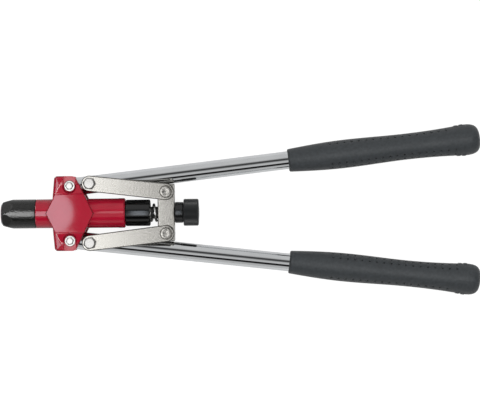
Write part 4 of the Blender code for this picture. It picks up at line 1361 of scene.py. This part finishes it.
@dataclass
class Grip:
    """The moulded grip: belly, waist and flared end, with rows of dimples and rim lugs."""

    side: Side
    length: float
    mouth: float = 8.15 * MM
    mouth_depth: float = 7.0 * MM
    mouth_edge: float = 0.3 * MM
    front_radius: float = 10.2 * MM
    front_edge: float = 1.2 * MM
    belly_radius: float = 12.75 * MM
    belly: float = 51.0 * MM
    waist_radius: float = 11.7 * MM
    waist: float = 107.0 * MM
    flare_radius: float = 13.9 * MM
    flare: float = 159.0 * MM
    end_flat: float = 2.5 * MM
    end_roundness: float = 3.0
    oval: float = 1.1 * MM
    drift: float = 1.8 * MM
    front_drift: float = 0.4 * MM
    dimple_radius: float = 1.15 * MM
    dimple_depth: float = 1.2 * MM
    dimple_start: float = 38.5 * MM
    dimple_pitch: float = 6.54 * MM
    dimple_count: int = 18
    inner_rows: tuple[float, ...] = (40.0, 65.0, 90.0, 115.0, 140.0)
    outer_rows: tuple[float, ...] = (-53.0, -90.0, -127.0)
    lugs: tuple[float, ...] = (152.8 * MM, 157.5 * MM)
    lug_height: float = 0.5 * MM
    lug_length: float = 3.9 * MM
    lug_half: float = 21.0
    lug_fade: float = 5.0
    seam: float = -6.0
    seam_start: float = 148.0 * MM
    seam_run: float = 4.0 * MM
    seam_width: float = 0.35 * MM
    seam_height: float = 0.12 * MM
    least_cut: float = 0.12 * MM
    least_turn: float = 0.6

    def radius(self, along: float) -> float:
        """The grip's half width.

        Args:
            along: The distance from its front.

        Returns:
            The half width there.
        """
        if along <= self.belly:
            share = math.sin(math.pi / 2 * along / self.belly)
            return self.front_radius + (self.belly_radius - self.front_radius) * share
        if along <= self.waist:
            share = (1 - math.cos(math.pi * (along - self.belly) / (self.waist - self.belly))) / 2
            return self.belly_radius + (self.waist_radius - self.belly_radius) * share
        if along <= self.flare:
            share = (along - self.waist) / (self.flare - self.waist)
            return self.waist_radius + (self.flare_radius - self.waist_radius) * share**2
        share = min((along - self.flare) / (self.length - self.flare), 1.0)
        rest = (1 - share**self.end_roundness) ** (1 / self.end_roundness)
        return self.end_flat + (self.flare_radius - self.end_flat) * rest

    def relief(self, along: float, angle: float) -> float:
        """How far dimples, lugs and parting line move the skin.

        Args:
            along: The distance from the grip's front.
            angle: The angle in degrees from the top towards the tool's axis.

        Returns:
            The skin's shift along its radius.
        """
        radius, shift = self.radius(along), 0.0
        step = round((along - self.dimple_start) / self.dimple_pitch)
        if 0 <= step < self.dimple_count - (angle < 0):
            off = along - self.dimple_start - step * self.dimple_pitch
            rows = self.inner_rows + self.outer_rows
            across = min(abs(math.radians(angle - row)) for row in rows) * radius
            share = math.hypot(off, across) / self.dimple_radius
            if share < 1.0:
                shift -= self.dimple_depth * (1 - smooth_step(share**3))
        width = 1 - smooth_step((abs(abs(angle) - 90.0) - self.lug_half) / self.lug_fade)
        for lug in self.lugs:
            past = abs(along - lug) - 0.3 * self.lug_length
            shift += self.lug_height * width * (1 - smooth_step(past / (0.25 * self.lug_length)))
        if along > self.seam_start:
            seam = 1 - smooth_step(abs(math.radians(angle - self.seam)) * radius / self.seam_width)
            fade = smooth_step((along - self.seam_start) / self.seam_run)
            shift += self.seam_height * seam * fade
        return shift

    def places(self) -> list[float]:
        """Where the grip is cut along its length, closer at dimples and lugs.

        Returns:
            The places, from its front to its end.
        """
        cuts = {self.length * n / 80 for n in range(1, 74)}
        for n in range(self.dimple_count):
            middle = self.dimple_start + n * self.dimple_pitch
            cuts |= {middle + self.dimple_radius * k / 4 for k in range(-5, 6)}
        for lug in self.lugs:
            cuts |= {lug + self.lug_length * k / 10 for k in range(-7, 8)}
        end = self.length - self.flare
        cuts |= {self.flare + end * math.sin(math.pi / 2 * n / 23.5) for n in range(1, 24)}
        return thinned((c for c in cuts if c > self.front_edge), self.least_cut)

    def turns(self) -> list[float]:
        """The angles at which each section is cut, closer at the rows of dimples.

        Returns:
            Angles in degrees, from -180 to 180.
        """
        cuts = {-180.0 + 5.0 * n for n in range(72)}
        cuts |= {self.seam + d for d in (-1.6, -0.8, 0.0, 0.8, 1.6)}
        span = math.degrees(self.dimple_radius / self.waist_radius)
        for row in self.inner_rows + self.outer_rows:
            cuts |= {row + span * k / 4 for k in range(-5, 6)}
        return thinned(cuts, self.least_turn)

    def mould(self) -> Piece:
        """Makes the grip in its own place: X along it, from its front.

        Returns:
            The grip.
        """
        form = Form(f"{self.side.label}_hand_grip")
        turns, sign = self.turns(), -self.side.value

        def section(along: float, width: float, detail: bool = False, worn: float = 0.0) -> Ring:
            """Adds an oval section.

            Args:
                along: The distance from the grip's front.
                width: Half its width.
                detail: Whether dimples, lugs and parting line show on it.
                worn: How far it lies in painted shade, from 0 to 1.

            Returns:
                The new vertices.
            """
            deep = width + self.oval * width / self.flare_radius
            inward = self.drift * along / self.length
            if width > self.mouth + WELD:
                inward += self.front_drift * max(0.0, 1 - along / self.waist)
            points, hollow = [], []
            for angle in turns:
                a = math.radians(angle)
                shift = self.relief(along, angle) if detail else 0.0
                share = 1 + shift / width
                across = sign * (math.sin(a) * width * share + inward)
                points.append((along, across, math.cos(a) * deep * share))
                # Dimples are marked for painted shade, as far as they sink.
                hollow.append(max(worn, -shift / self.dimple_depth))
            return form.ring(points, hollow)

        face = self.front_radius - self.front_edge
        rings = [section(self.mouth_depth, self.mouth), section(self.mouth_edge, self.mouth)]
        rings += [section(0.0, self.mouth + self.mouth_edge), section(0.0, face)]
        for n in range(1, 6):
            a = math.pi / 2 * n / 6
            width = face + (self.radius(self.front_edge) - face) * math.sin(a)
            # The rounded front rim is marked for painted shade.
            rings.append(section(self.front_edge * (1 - math.cos(a)), width, False, 0.6))
        rings += [section(place, self.radius(place), True) for place in self.places()]
        rings.append(section(self.length, self.end_flat))
        rings.append(form.ring([(self.length, sign * self.drift, 0.0)]))
        return form.skin(rings).piece(smooth_to=50.0)


@dataclass
class Lever(SubAssembly):
    """One chromed tube with its bushes and its grip."""

    side: Side
    pivot: float = 24.6 * MM
    angle: float = math.radians(6.53)
    offset: float = 0.95 * MM
    front: float = 6.5 * MM
    radius: float = 8.0 * MM
    wall: float = 2.0 * MM
    bush_radius: float = 4.7 * MM
    bolt_radius: float = 3.0 * MM
    crank: float = 17.8 * MM
    grip_start: float = 197.0 * MM
    grip_length: float = 173.0 * MM
    short: float = 1.0 * MM
    tube_end: float = 347.0 * MM
    plain_start: float = 40.0 * MM
    holes_end: float = 30.0 * MM
    parts: int = 8
    bush_gap: float = 0.05 * MM
    bolt_gap: float = 0.1 * MM

    def tube(self) -> Piece:
        """Makes the tube with its holes for the two bushes.

        Returns:
            The tube in its own axes.
        """
        inner = self.radius - self.wall
        run = self.tube_end - self.plain_start
        outline = [
            *((self.tube_end - run * n / self.parts, self.radius) for n in range(self.parts + 1)),
            (self.holes_end, self.radius),
            (-self.front, self.radius, 0.5 * MM),
            (-self.front, inner, 0.4 * MM),
            (self.tube_end, inner),
        ]
        shift = moved(y=-self.side.value * self.offset)
        made = Form(f"{self.side.label}_tube").turn(outline).piece(shift @ ALONG_X)
        for along in (0.0, self.crank):
            rim = circle((along, 0.0), self.bush_radius + self.bush_gap)
            work_in(made, Form("hole").sheet([rim], -THROUGH, THROUGH).piece(), Cut.REMOVE)
        return made

    def build(self) -> None:
        """Makes the tube, its bushes and its grip in the lever's own axes: X along the tube."""
        sign, label = self.side.value, self.side.label
        body, bore = f"{label}_lever", self.bolt_radius + self.bolt_gap
        turned = Matrix.Rotation(sign * self.angle, 4, "Z")
        place = moved(y=sign * self.pivot, z=AXIS_HEIGHT) @ turned
        fit(settle(self.tube(), place), body, TUBE_CHROME, f"{label}_lever_tube")
        bush = [
            (self.radius, self.bush_radius, EASED),
            (-self.radius, self.bush_radius, EASED),
            (-self.radius, bore, EASED),
            (self.radius, bore, EASED),
        ]
        for name, along in (("pivot", 0.0), ("link", self.crank)):
            piece = Form(f"{label}_{name}_bearing").turn(bush).piece(place @ moved(x=along))
            fit(piece, body, BUSH_BRONZE, f"{label}_{name}_bush")
        grip = Grip(self.side, self.grip_length - (self.side is Side.LOWER) * self.short).mould()
        grip.data.transform(moved(x=self.grip_start, y=-sign * self.offset))
        fit(settle(grip, place, 50.0), body, GRIP_RUBBER, f"{label}_grip")


@dataclass
class LinkPair(SubAssembly):
    """The two links of one side with their bolt and nut."""

    side: Side
    bolt_place: Point = (17.6845 * MM, 26.6243 * MM)
    pin_place: Point = (85.8 * MM, 18.7 * MM)
    inner: float = 8.3 * MM
    outer: float = 11.8 * MM
    front_eye: float = 7.1 * MM
    rear_eye: float = 7.5 * MM
    edge: float = 0.9 * MM
    bolt_radius: float = 3.0 * MM
    bolt_gap: float = 0.15 * MM
    pin_hole: float = 4.95 * MM
    head_flats: float = 10.0 * MM
    head_height: float = 4.0 * MM
    nut_height: float = 3.0 * MM
    nut_gap: float = 0.1 * MM
    shank_sink: float = 1.0 * MM
    seat_gap: float = 0.3 * MM
    steps: int = 48

    @property
    def place(self) -> Matrix:
        """The pair's own axes: X from the bolt towards the crosshead pin.

        Returns:
            Their place in the frame.
        """
        x, y = self.bolt_place[0], self.side.value * self.bolt_place[1]
        lean = math.atan2(self.side.value * self.pin_place[1] - y, self.pin_place[0] - x)
        return moved(x, y, AXIS_HEIGHT) @ Matrix.Rotation(lean, 4, "Z")

    def strap(self, face: Face) -> Piece:
        """Makes one link.

        Args:
            face: The side of the tool that it lies on.

        Returns:
            The link.
        """
        start, end = (0.0, 0.0), (math.dist(self.bolt_place, self.pin_place), 0.0)
        lean = math.acos((self.front_eye - self.rear_eye) / end[0])
        outline = arc(start, self.front_eye - self.edge, lean, FULL - lean, self.steps)
        outline += arc(end, self.rear_eye - self.edge, -lean, lean, self.steps)
        holes = [
            circle(start, self.bolt_radius + self.bolt_gap + self.edge, self.steps),
            circle(end, self.pin_hole + self.edge, self.steps),
        ]
        form = Form(f"{self.side.label}_strap_{face.name.lower()}")
        low, high = sorted((face.value * self.inner, face.value * self.outer))
        return form.sheet([outline, *holes], low, high, self.edge).piece(self.place, 40.0, True)

    def build(self) -> None:
        """Makes both links, the bolt and the nut."""
        label = self.side.label
        body, seat = f"{label}_links", self.outer + self.seat_gap
        for face in Face:
            fit(self.strap(face), body, LINK_NICKEL, f"{label}_link_{face.name.lower()}")
        low, step = -seat - self.nut_height, seat + self.shank_sink
        bolt = Form(f"{label}_link_screw")
        bolt.hexagon(self.head_flats, seat, seat + self.head_height, HEAD_TURN[self.side])
        bolt.turn([(step, 0.0), (step, self.bolt_radius), *shank(self.bolt_radius, low)], False)
        fit(bolt.piece(self.place), body, BOLT_ZINC, f"{label}_link_bolt")
        nut = Form(f"{label}_link_lock_nut")
        nut.hexagon(self.head_flats, low, -seat, hole=self.bolt_radius + self.nut_gap)
        fit(nut.piece(self.place), body, BOLT_ZINC, f"{label}_link_nut")


@dataclass
class Crosshead(SubAssembly):
    """The bar across the spindle, with its two headed pins and their retaining rings."""

    centre: float = 85.8 * MM
    width: float = 15.0 * MM
    half_depth: float = 8.0 * MM
    edge: float = 1.2 * MM
    bore: float = 5.0 * MM
    pin_spacing: float = 18.7 * MM
    pin_radius: float = 4.0 * MM
    pin_gap: float = 0.2 * MM
    head_radius: float = 5.85 * MM
    head_height: float = 0.8 * MM
    button_radius: float = 5.15 * MM
    button_height: float = 0.6 * MM
    dish: float = 0.25 * MM
    groove_radius: float = 3.2 * MM
    tail: float = 0.9 * MM
    ring_radius: float = 5.6 * MM
    ring_thickness: float = 1.0 * MM
    ring_opening: float = math.radians(32)
    ring_gap: float = 0.1 * MM
    ring_edge: float = 0.15 * MM
    ring_steps: int = 64
    link_outer: float = 11.8 * MM
    seat_gap: float = 0.3 * MM
    lever_pivot: float = 24.6 * MM
    lever_angle: float = math.radians(6.53)
    lever_reach: float = 8.95 * MM
    stop_gap: float = 0.4 * MM

    def half_length(self, along: float) -> float:
        """Half the bar's length at a place, just inside the closed levers."""
        lever = self.lever_pivot + along * math.tan(self.lever_angle)
        return lever - self.lever_reach / math.cos(self.lever_angle) - self.stop_gap

    def bar(self) -> Piece:
        """Makes the bar with its bore and its two pin holes.

        Returns:
            The bar.
        """
        half = self.width / 2
        front, rear = (self.half_length(self.centre + end) for end in (-half, half))
        outline = [(-half, -front), (half, -rear), (half, rear), (-half, front)]
        form = Form("crossbar").sheet([outline], -self.half_depth, self.half_depth)
        made = form.soften(self.edge, 40.0, 5).piece()
        bore = Form("hole").sheet([circle((0.0, 0.0), self.bore)], -self.width, self.width)
        work_in(made, bore.piece(ALONG_X), Cut.REMOVE)
        for side in Side:
            rim = circle((0.0, side.value * self.pin_spacing), self.pin_radius + self.pin_gap)
            work_in(made, Form("hole").sheet([rim], -THROUGH, THROUGH).piece(), Cut.REMOVE)
        return settle(made, moved(x=self.centre, z=AXIS_HEIGHT), flat=True)

    def pin(self) -> list[Corner]:
        """The outline of a headed pin with its ring groove.

        Returns:
            Points along the pin and out from it.
        """
        seat = self.link_outer + self.seat_gap
        step = seat + self.head_height
        top = step + self.button_height
        groove = -seat - self.ring_thickness - self.seat_gap
        return [
            (top - self.dish, 0.0),
            (top, 0.55 * self.button_radius, 0.8 * MM),
            (top, self.button_radius - 0.3 * MM, 0.5 * MM),
            (step - self.dish, self.button_radius, 0.4 * MM),
            (step, self.button_radius + 0.35 * MM, 0.2 * MM),
            (step, self.head_radius, 0.4 * MM),
            (seat, self.head_radius, 0.15 * MM),
            (seat, self.pin_radius),
            (-self.link_outer, self.pin_radius),
            (-self.link_outer, self.groove_radius),
            (groove, self.groove_radius),
            (groove, self.pin_radius),
            (groove - self.tail, self.pin_radius, 0.4 * MM),
            (groove - self.tail, 0.0),
        ]

    def build(self) -> None:
        """Makes the bar, its pins and their retaining rings, split like snap rings."""
        fit(self.bar(), "crosshead_set", BAR_NICKEL, "crosshead")
        outer, inner = self.ring_opening, 1.3 * self.ring_opening
        split = arc((0.0, 0.0), self.ring_radius, outer, FULL - outer, self.ring_steps)
        hole = self.groove_radius + self.ring_gap
        split += arc((0.0, 0.0), hole, FULL - inner, inner, self.ring_steps)
        high = -self.link_outer - self.seat_gap
        for side in Side:
            label, across = side.label, side.value * self.pin_spacing
            place = moved(self.centre, across, AXIS_HEIGHT)
            pin = Form(f"{label}_headed_pin").turn(self.pin(), False).piece(place)
            fit(pin, "crosshead_set", PIN_NICKEL, f"{label}_crosshead_pin")
            ring = Form(f"{label}_snap_ring").sheet([split], high - self.ring_thickness, high)
            ring.soften(self.ring_edge, 60.0, 2)
            fit(ring.piece(place), "crosshead_set", NUT_BLACK, f"{label}_pin_ring")


@dataclass
class Spindle(SubAssembly):
    """The hollow spindle with its collar nut and knob."""

    front: float = -20.0 * MM
    head_end: float = -14.3 * MM
    head_radius: float = 6.9 * MM
    radius: float = 5.4 * MM
    tail_radius: float = 4.7 * MM
    bore: float = 3.0 * MM
    shoulder: float = 78.0 * MM
    tail_end: float = 112.6 * MM
    nut_front: float = 93.6 * MM
    nut_back: float = 101.0 * MM
    nut_radius: float = 9.4 * MM
    nut_edge: float = 0.6 * MM
    knob_front: float = 101.3 * MM
    knob_back: float = 115.3 * MM
    knob_radius: float = 12.1 * MM
    knob_edge: float = 1.4 * MM
    knob_wall: float = 2.4 * MM
    dome: float = 0.5 * MM
    outlet: float = 0.6 * MM
    tail_hole: float = 4.9 * MM

    def build(self) -> None:
        """Makes the spindle, its round nut, and its knob with round rims, domed end and outlet."""
        shaft = [
            (self.tail_end, self.tail_radius, 0.4 * MM),
            (self.shoulder, self.tail_radius),
            (self.shoulder, self.radius, EASED),
            (self.head_end, self.radius),
            (self.head_end, self.head_radius, 0.4 * MM),
            (self.front, self.head_radius, 0.4 * MM),
            (self.front, self.bore, EASED),
            (self.tail_end, self.bore, EASED),
        ]
        rim = self.nut_radius - self.nut_edge
        nut = [
            (self.nut_back, rim, 0.2 * MM),
            (self.nut_back - self.nut_edge, self.nut_radius, EASED),
            (self.nut_front + self.nut_edge, self.nut_radius, EASED),
            (self.nut_front, rim, 0.2 * MM),
            (self.nut_front, self.tail_hole),
            (self.nut_back, self.tail_hole),
        ]
        step = self.knob_back - self.knob_wall
        knob = [
            (self.knob_back, self.bore + self.outlet, EASED),
            (self.knob_back - self.dome, self.knob_radius, self.knob_edge),
            (self.knob_front, self.knob_radius, self.knob_edge),
            (self.knob_front, self.tail_hole),
            (step, self.tail_hole),
            (step, self.bore),
            (self.knob_back - self.outlet, self.bore, EASED),
        ]
        for name, outline, finish, node in (
            ("hollow_spindle", shaft, SHAFT_DARK, "draw_spindle"),
            ("round_nut", nut, NUT_BLACK, "collar_nut"),
            ("end_knob", knob, KNOB_PLASTIC, "rear_knob"),
        ):
            fit(Form(name).turn(outline).piece(along_axis()), "spindle_set", finish, node)


@dataclass
class JawSet(SubAssembly):
    """What lies inside the nose: jaw case, jaws, pusher and their spring."""

    spring_seat: float = -20.0 * MM
    spring_radius: float = 5.5 * MM
    wire: float = 1.0 * MM
    turns: float = 3.0
    end_pitch: float = 1.6 * MM
    travel: float = 1.18 * MM

    def build(self) -> None:
        """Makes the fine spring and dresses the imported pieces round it, which stay in view."""
        kept = {"jaw_case": SHAFT_STEEL, "jaw_pusher": SHAFT_STEEL}
        kept |= {f"jaw_{number}": NOSE_BLACK for number in (1, 2, 3)}
        for node, finish in kept.items():
            dress(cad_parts[node], finish)
            LOG.info("%s: %s, as packed", node, finish.name)
        low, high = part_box("jaw_spring")
        ends = low.x + self.wire / 2, high.x - self.wire / 2
        coil = Coil("jaw_coil", self.spring_radius, self.wire, *ends, self.turns, self.end_pitch)
        spring = fit(coil.wound(), "spindle_set", SPRING_STEEL, "jaw_spring")
        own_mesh(spring)


# Studio


@dataclass(frozen=True)
class Panel:
    """A soft box that shows only in the gloss of the pieces that it is hung for."""

    name: str
    middle: Place
    size: Point
    level: float
    pieces: tuple[str, ...]
    disc: bool = False
    tint: Colour = (1.0, 1.0, 1.0)
    aim: Place | None = None

    def hang(self) -> None:
        """Hangs the panel, facing down or towards its aim."""
        lamp = bpy.data.lights.new(self.name, "AREA")
        lamp.shape = "ELLIPSE" if self.disc else "RECTANGLE"
        lamp.size, lamp.size_y = self.size
        area = self.size[0] * self.size[1] * (math.pi / 4 if self.disc else 1.0)
        lamp.energy = LAMP_POWER * self.level * area
        lamp.color = self.tint
        made = shown(self.name, lamp)
        made.location = self.middle
        if self.aim:
            ahead = Vector(self.aim) - Vector(self.middle)
            made.rotation_euler = ahead.to_track_quat("-Z", "Y").to_euler()
        made.visible_diffuse = made.visible_camera = False
        lit = bpy.data.collections.new(f"{self.name}_pieces")
        for name in self.pieces:
            lit.objects.link(bpy.data.objects[name])
        made.light_linking.receiver_collection = lit


BODY = ("casting",)
NOSE = ("nose_shell",)
KNOB = ("end_knob",)
PIVOT_SCREWS = ("upper_pivot_screw", "lower_pivot_screw")
LINK_SCREWS = ("upper_link_screw", "lower_link_screw")
PINS = ("upper_headed_pin", "lower_headed_pin")
STRAPS = ("upper_strap_front", "lower_strap_front", "crossbar", *PINS)
GRIPS = ("upper_hand_grip", "lower_hand_grip")
COOL = (0.92, 1.0, 1.1)
MIDDLE = (0.0, 0.0, 0.0)
BY_KNOB = (0.11, 0.0, 0.0)
PANELS = (
    Panel("plateau_panel", (-0.183, 0.0, 1.5), (0.086, 0.086), 4.0, BODY, True, tint=COOL),
    Panel("collar_panel", (-0.234, 0.0, 1.5), (0.112, 1.0), 3.3, BODY, tint=COOL),
    Panel("front_panel", (-0.238, 0.0, 1.5), (0.11, 1.0), 3.1, BODY, tint=COOL),
    Panel("nose_panel", (-0.7, -0.02, 1.5), (1.5, 1.0), 6.5, NOSE),
    Panel("tip_panel", (-0.73, 1.28, 0.62), (0.8, 0.8), 0.5, NOSE, aim=(-0.06, 0.0, 0.0)),
    Panel("upper_pocket_panel", (-0.147, 0.053, 1.5), (0.022, 0.034), 3.0, BODY),
    Panel("lower_pocket_panel", (-0.147, -0.053, 1.5), (0.022, 0.034), 3.0, BODY),
    Panel("tube_panel", (-0.065, 0.18, 1.5), (0.07, 0.46), 1.5, BODY),
    Panel("upper_edge_panel", (-1.1, 1.14, 0.62), (0.4, 0.9), 10.0, BODY, aim=MIDDLE),
    Panel("lower_edge_panel", (-1.1, -1.14, 0.62), (0.4, 0.9), 6.0, BODY, aim=MIDDLE),
    Panel("rear_edge_panel", (1.3, 0.0, 0.9), (0.5, 0.7), 4.0, BODY, aim=MIDDLE),
    Panel("pivot_panel", (-0.14, 0.0, 1.5), (0.7, 0.7), 1.6, PIVOT_SCREWS),
    Panel("screw_panel", (-0.14, 0.0, 1.5), (0.7, 0.7), 1.15, LINK_SCREWS),
    Panel("link_panel", (-0.475, 0.0, 1.5), (0.85, 1.2), 1.3, STRAPS),
    Panel("bar_edge_panel", (1.2, 0.0, 0.8), (0.7, 0.9), 1.3, STRAPS, aim=(0.14, 0.0, 0.0)),
    Panel("bar_panel", (0.05, 0.0, 1.5), (0.2, 1.2), 0.1, STRAPS),
    Panel("axis_panel", (-0.01, -0.08, 1.5), (0.2, 1.05), 2.3, ("sleeve", "round_nut"), tint=COOL),
    Panel("grip_panel", (0.34, 0.0, 1.5), (0.42, 0.6), 3.0, GRIPS),
    Panel("upper_knob_panel", (0.11, 1.3, 0.12), (0.8, 0.24), 3.6, KNOB, aim=BY_KNOB),
    Panel("lower_knob_panel", (0.11, -1.3, 0.12), (0.8, 0.24), 3.6, KNOB, aim=BY_KNOB),
    Panel("coil_panel", (-0.03, 0.0, 1.5), (0.6, 1.2), 4.5, ("return_coil",)),
)


@dataclass
class Studio:
    """The pale floor, the soft light round the tool and the camera above it."""

    floor_half: float = 3.0
    floor_level: float = -0.3 * MM
    floor_glow: Place = (0.92, 0.15, 0.0)
    floor_albedo: Place = (0.2, 0.55, 0.25)
    eye: Place = (0.15206, 0.00157, 1.5455)
    roll: float = math.radians(-0.596)
    lens: float = 127.5
    sensor: float = 36.0
    bands: tuple[Point, ...] = (
        (-90.0, 0.48), (-70.0, 0.54), (-63.0, 0.50), (-57.0, 0.22), (-52.0, 0.02), (-36.0, 0.0),
        (-32.0, 0.15), (-28.0, 0.54), (-13.0, 0.58), (-6.0, 0.42), (0.0, 0.22), (6.0, 0.06),
        (18.0, 0.05), (24.0, 0.20), (30.0, 0.48), (38.5, 0.60), (90.0, 0.60),
    )  # fmt: skip
    fade: tuple[Point, ...] = ((-1.0, 0.5), (-0.3, 1.0), (0.3, 1.0), (1.0, 0.35))
    fill_height: float = 2.2
    fill_size: float = 2.5
    fill_level: float = 1.85
    panels: tuple[Panel, ...] = PANELS

    def floor(self) -> None:
        """Lays a floor that shows white and still takes the tool's shadow."""
        form = Form("floor")
        signs = ((-1, -1), (1, -1), (1, 1), (-1, 1))
        half = self.floor_half
        form.work.faces.new(form.ring((half * x, half * y, 0.0) for x, y in signs))
        made = form.piece(moved(z=self.floor_level))
        material = bpy.data.materials.new("pale_floor")
        nodes = Nodes(material)
        nodes.tree.nodes.clear()
        path = nodes.node("ShaderNodeLightPath").outputs

        def level(eye: float, mirror: float, other: float) -> Socket:
            """Picks a level by the kind of ray.

            Args:
                eye: The level that the camera sees.
                mirror: The level that metal and glass show.
                other: The level for all other rays.

            Returns:
                The level.
            """
            names = ("Is Transmission Ray", "Is Glossy Ray", "Is Camera Ray")
            found: Source = other
            for name, share in zip(names, (mirror, mirror, eye)):
                found = nodes.node("ShaderNodeMix", {0: path[name], 2: found, 3: share}).outputs[0]
            return found

        matt = nodes.node("ShaderNodeBsdfDiffuse", {"Color": level(*self.floor_albedo)}).outputs[0]
        glow = nodes.node("ShaderNodeEmission", {"Strength": level(*self.floor_glow)}).outputs[0]
        both = nodes.node("ShaderNodeAddShader", {0: matt, 1: glow}).outputs[0]
        nodes.node("ShaderNodeOutputMaterial", {"Surface": both})
        made.data.materials.append(material)

    def sky(self) -> None:
        """Sets the soft boxes round the tool: an overhead strip and two low side walls."""
        world = bpy.data.worlds.new("studio")
        bpy.context.scene.world = world
        nodes = Nodes(world)
        nodes.tree.nodes.clear()

        def curve(source: Socket, stops: Sequence[Point]) -> Socket:
            """A level that follows a number along straight pieces.

            Args:
                source: The number.
                stops: Its values, each with the level there.

            Returns:
                The level.
            """
            first, run = stops[0][0], stops[-1][0] - stops[0][0]
            share = nodes.maths("DIVIDE", nodes.maths("SUBTRACT", source, first), run)
            rows = [((place - first) / run, (level,) * 3) for place, level in stops]
            return nodes.ramp(share, *rows)

        place = nodes.node("ShaderNodeTexCoord").outputs["Generated"]
        x, y, z = nodes.node("ShaderNodeSeparateXYZ", {0: place}).outputs
        lean = nodes.maths("MULTIPLY", nodes.maths("ARCTAN2", y, z), 180 / math.pi)
        light = nodes.maths("MULTIPLY", curve(lean, self.bands), curve(x, self.fade))
        seen = nodes.node("ShaderNodeLightPath").outputs["Is Camera Ray"]
        round_it = nodes.node("ShaderNodeBackground", {"Color": light}).outputs[0]
        white = nodes.node("ShaderNodeBackground", {"Color": (1.0, 1.0, 1.0, 1.0)}).outputs[0]
        both = nodes.node("ShaderNodeMixShader", {0: seen, 1: round_it, 2: white}).outputs[0]
        nodes.node("ShaderNodeOutputWorld", {"Surface": both})

    def fill(self) -> None:
        """Hangs the large soft light that colours show under, without a mirror image of its own."""
        lamp = bpy.data.lights.new("fill", "AREA")
        lamp.size = self.fill_size
        lamp.energy = LAMP_POWER * self.fill_level * self.fill_size**2
        made = shown("fill", lamp)
        made.location = (self.eye[0], 0.0, self.fill_height)
        made.visible_glossy = made.visible_camera = False

    def camera(self) -> None:
        """Hangs the camera over the tool, looking straight down."""
        lens = bpy.data.cameras.new("overhead")
        lens.lens = self.lens
        lens.sensor_width = self.sensor
        made = shown("overhead", lens)
        made.location = self.eye
        made.rotation_euler = (0.0, 0.0, self.roll)
        bpy.context.scene.camera = made

    def build(self) -> None:
        """Sets up the floor, the light and the camera."""
        self.floor()
        self.sky()
        self.fill()
        for panel in self.panels:
            panel.hang()
        self.camera()
        bpy.context.scene.view_settings.view_transform = "Standard"
        LOG.info("studio: floor, light and camera")


def main() -> None:
    """Builds every sub-assembly in order."""
    logging.basicConfig(level=logging.INFO, format="%(name)s: %(message)s")
    parts: list[SubAssembly] = [Casting(), Nose(), PivotBolts(), StopSleeve()]
    parts += [Lever(side) for side in Side]
    parts += [LinkPair(side) for side in Side]
    parts += [Crosshead(), Spindle(), JawSet()]
    for part in parts:
        part.build()
    Studio().build()


if __name__ == "__main__":
    main()
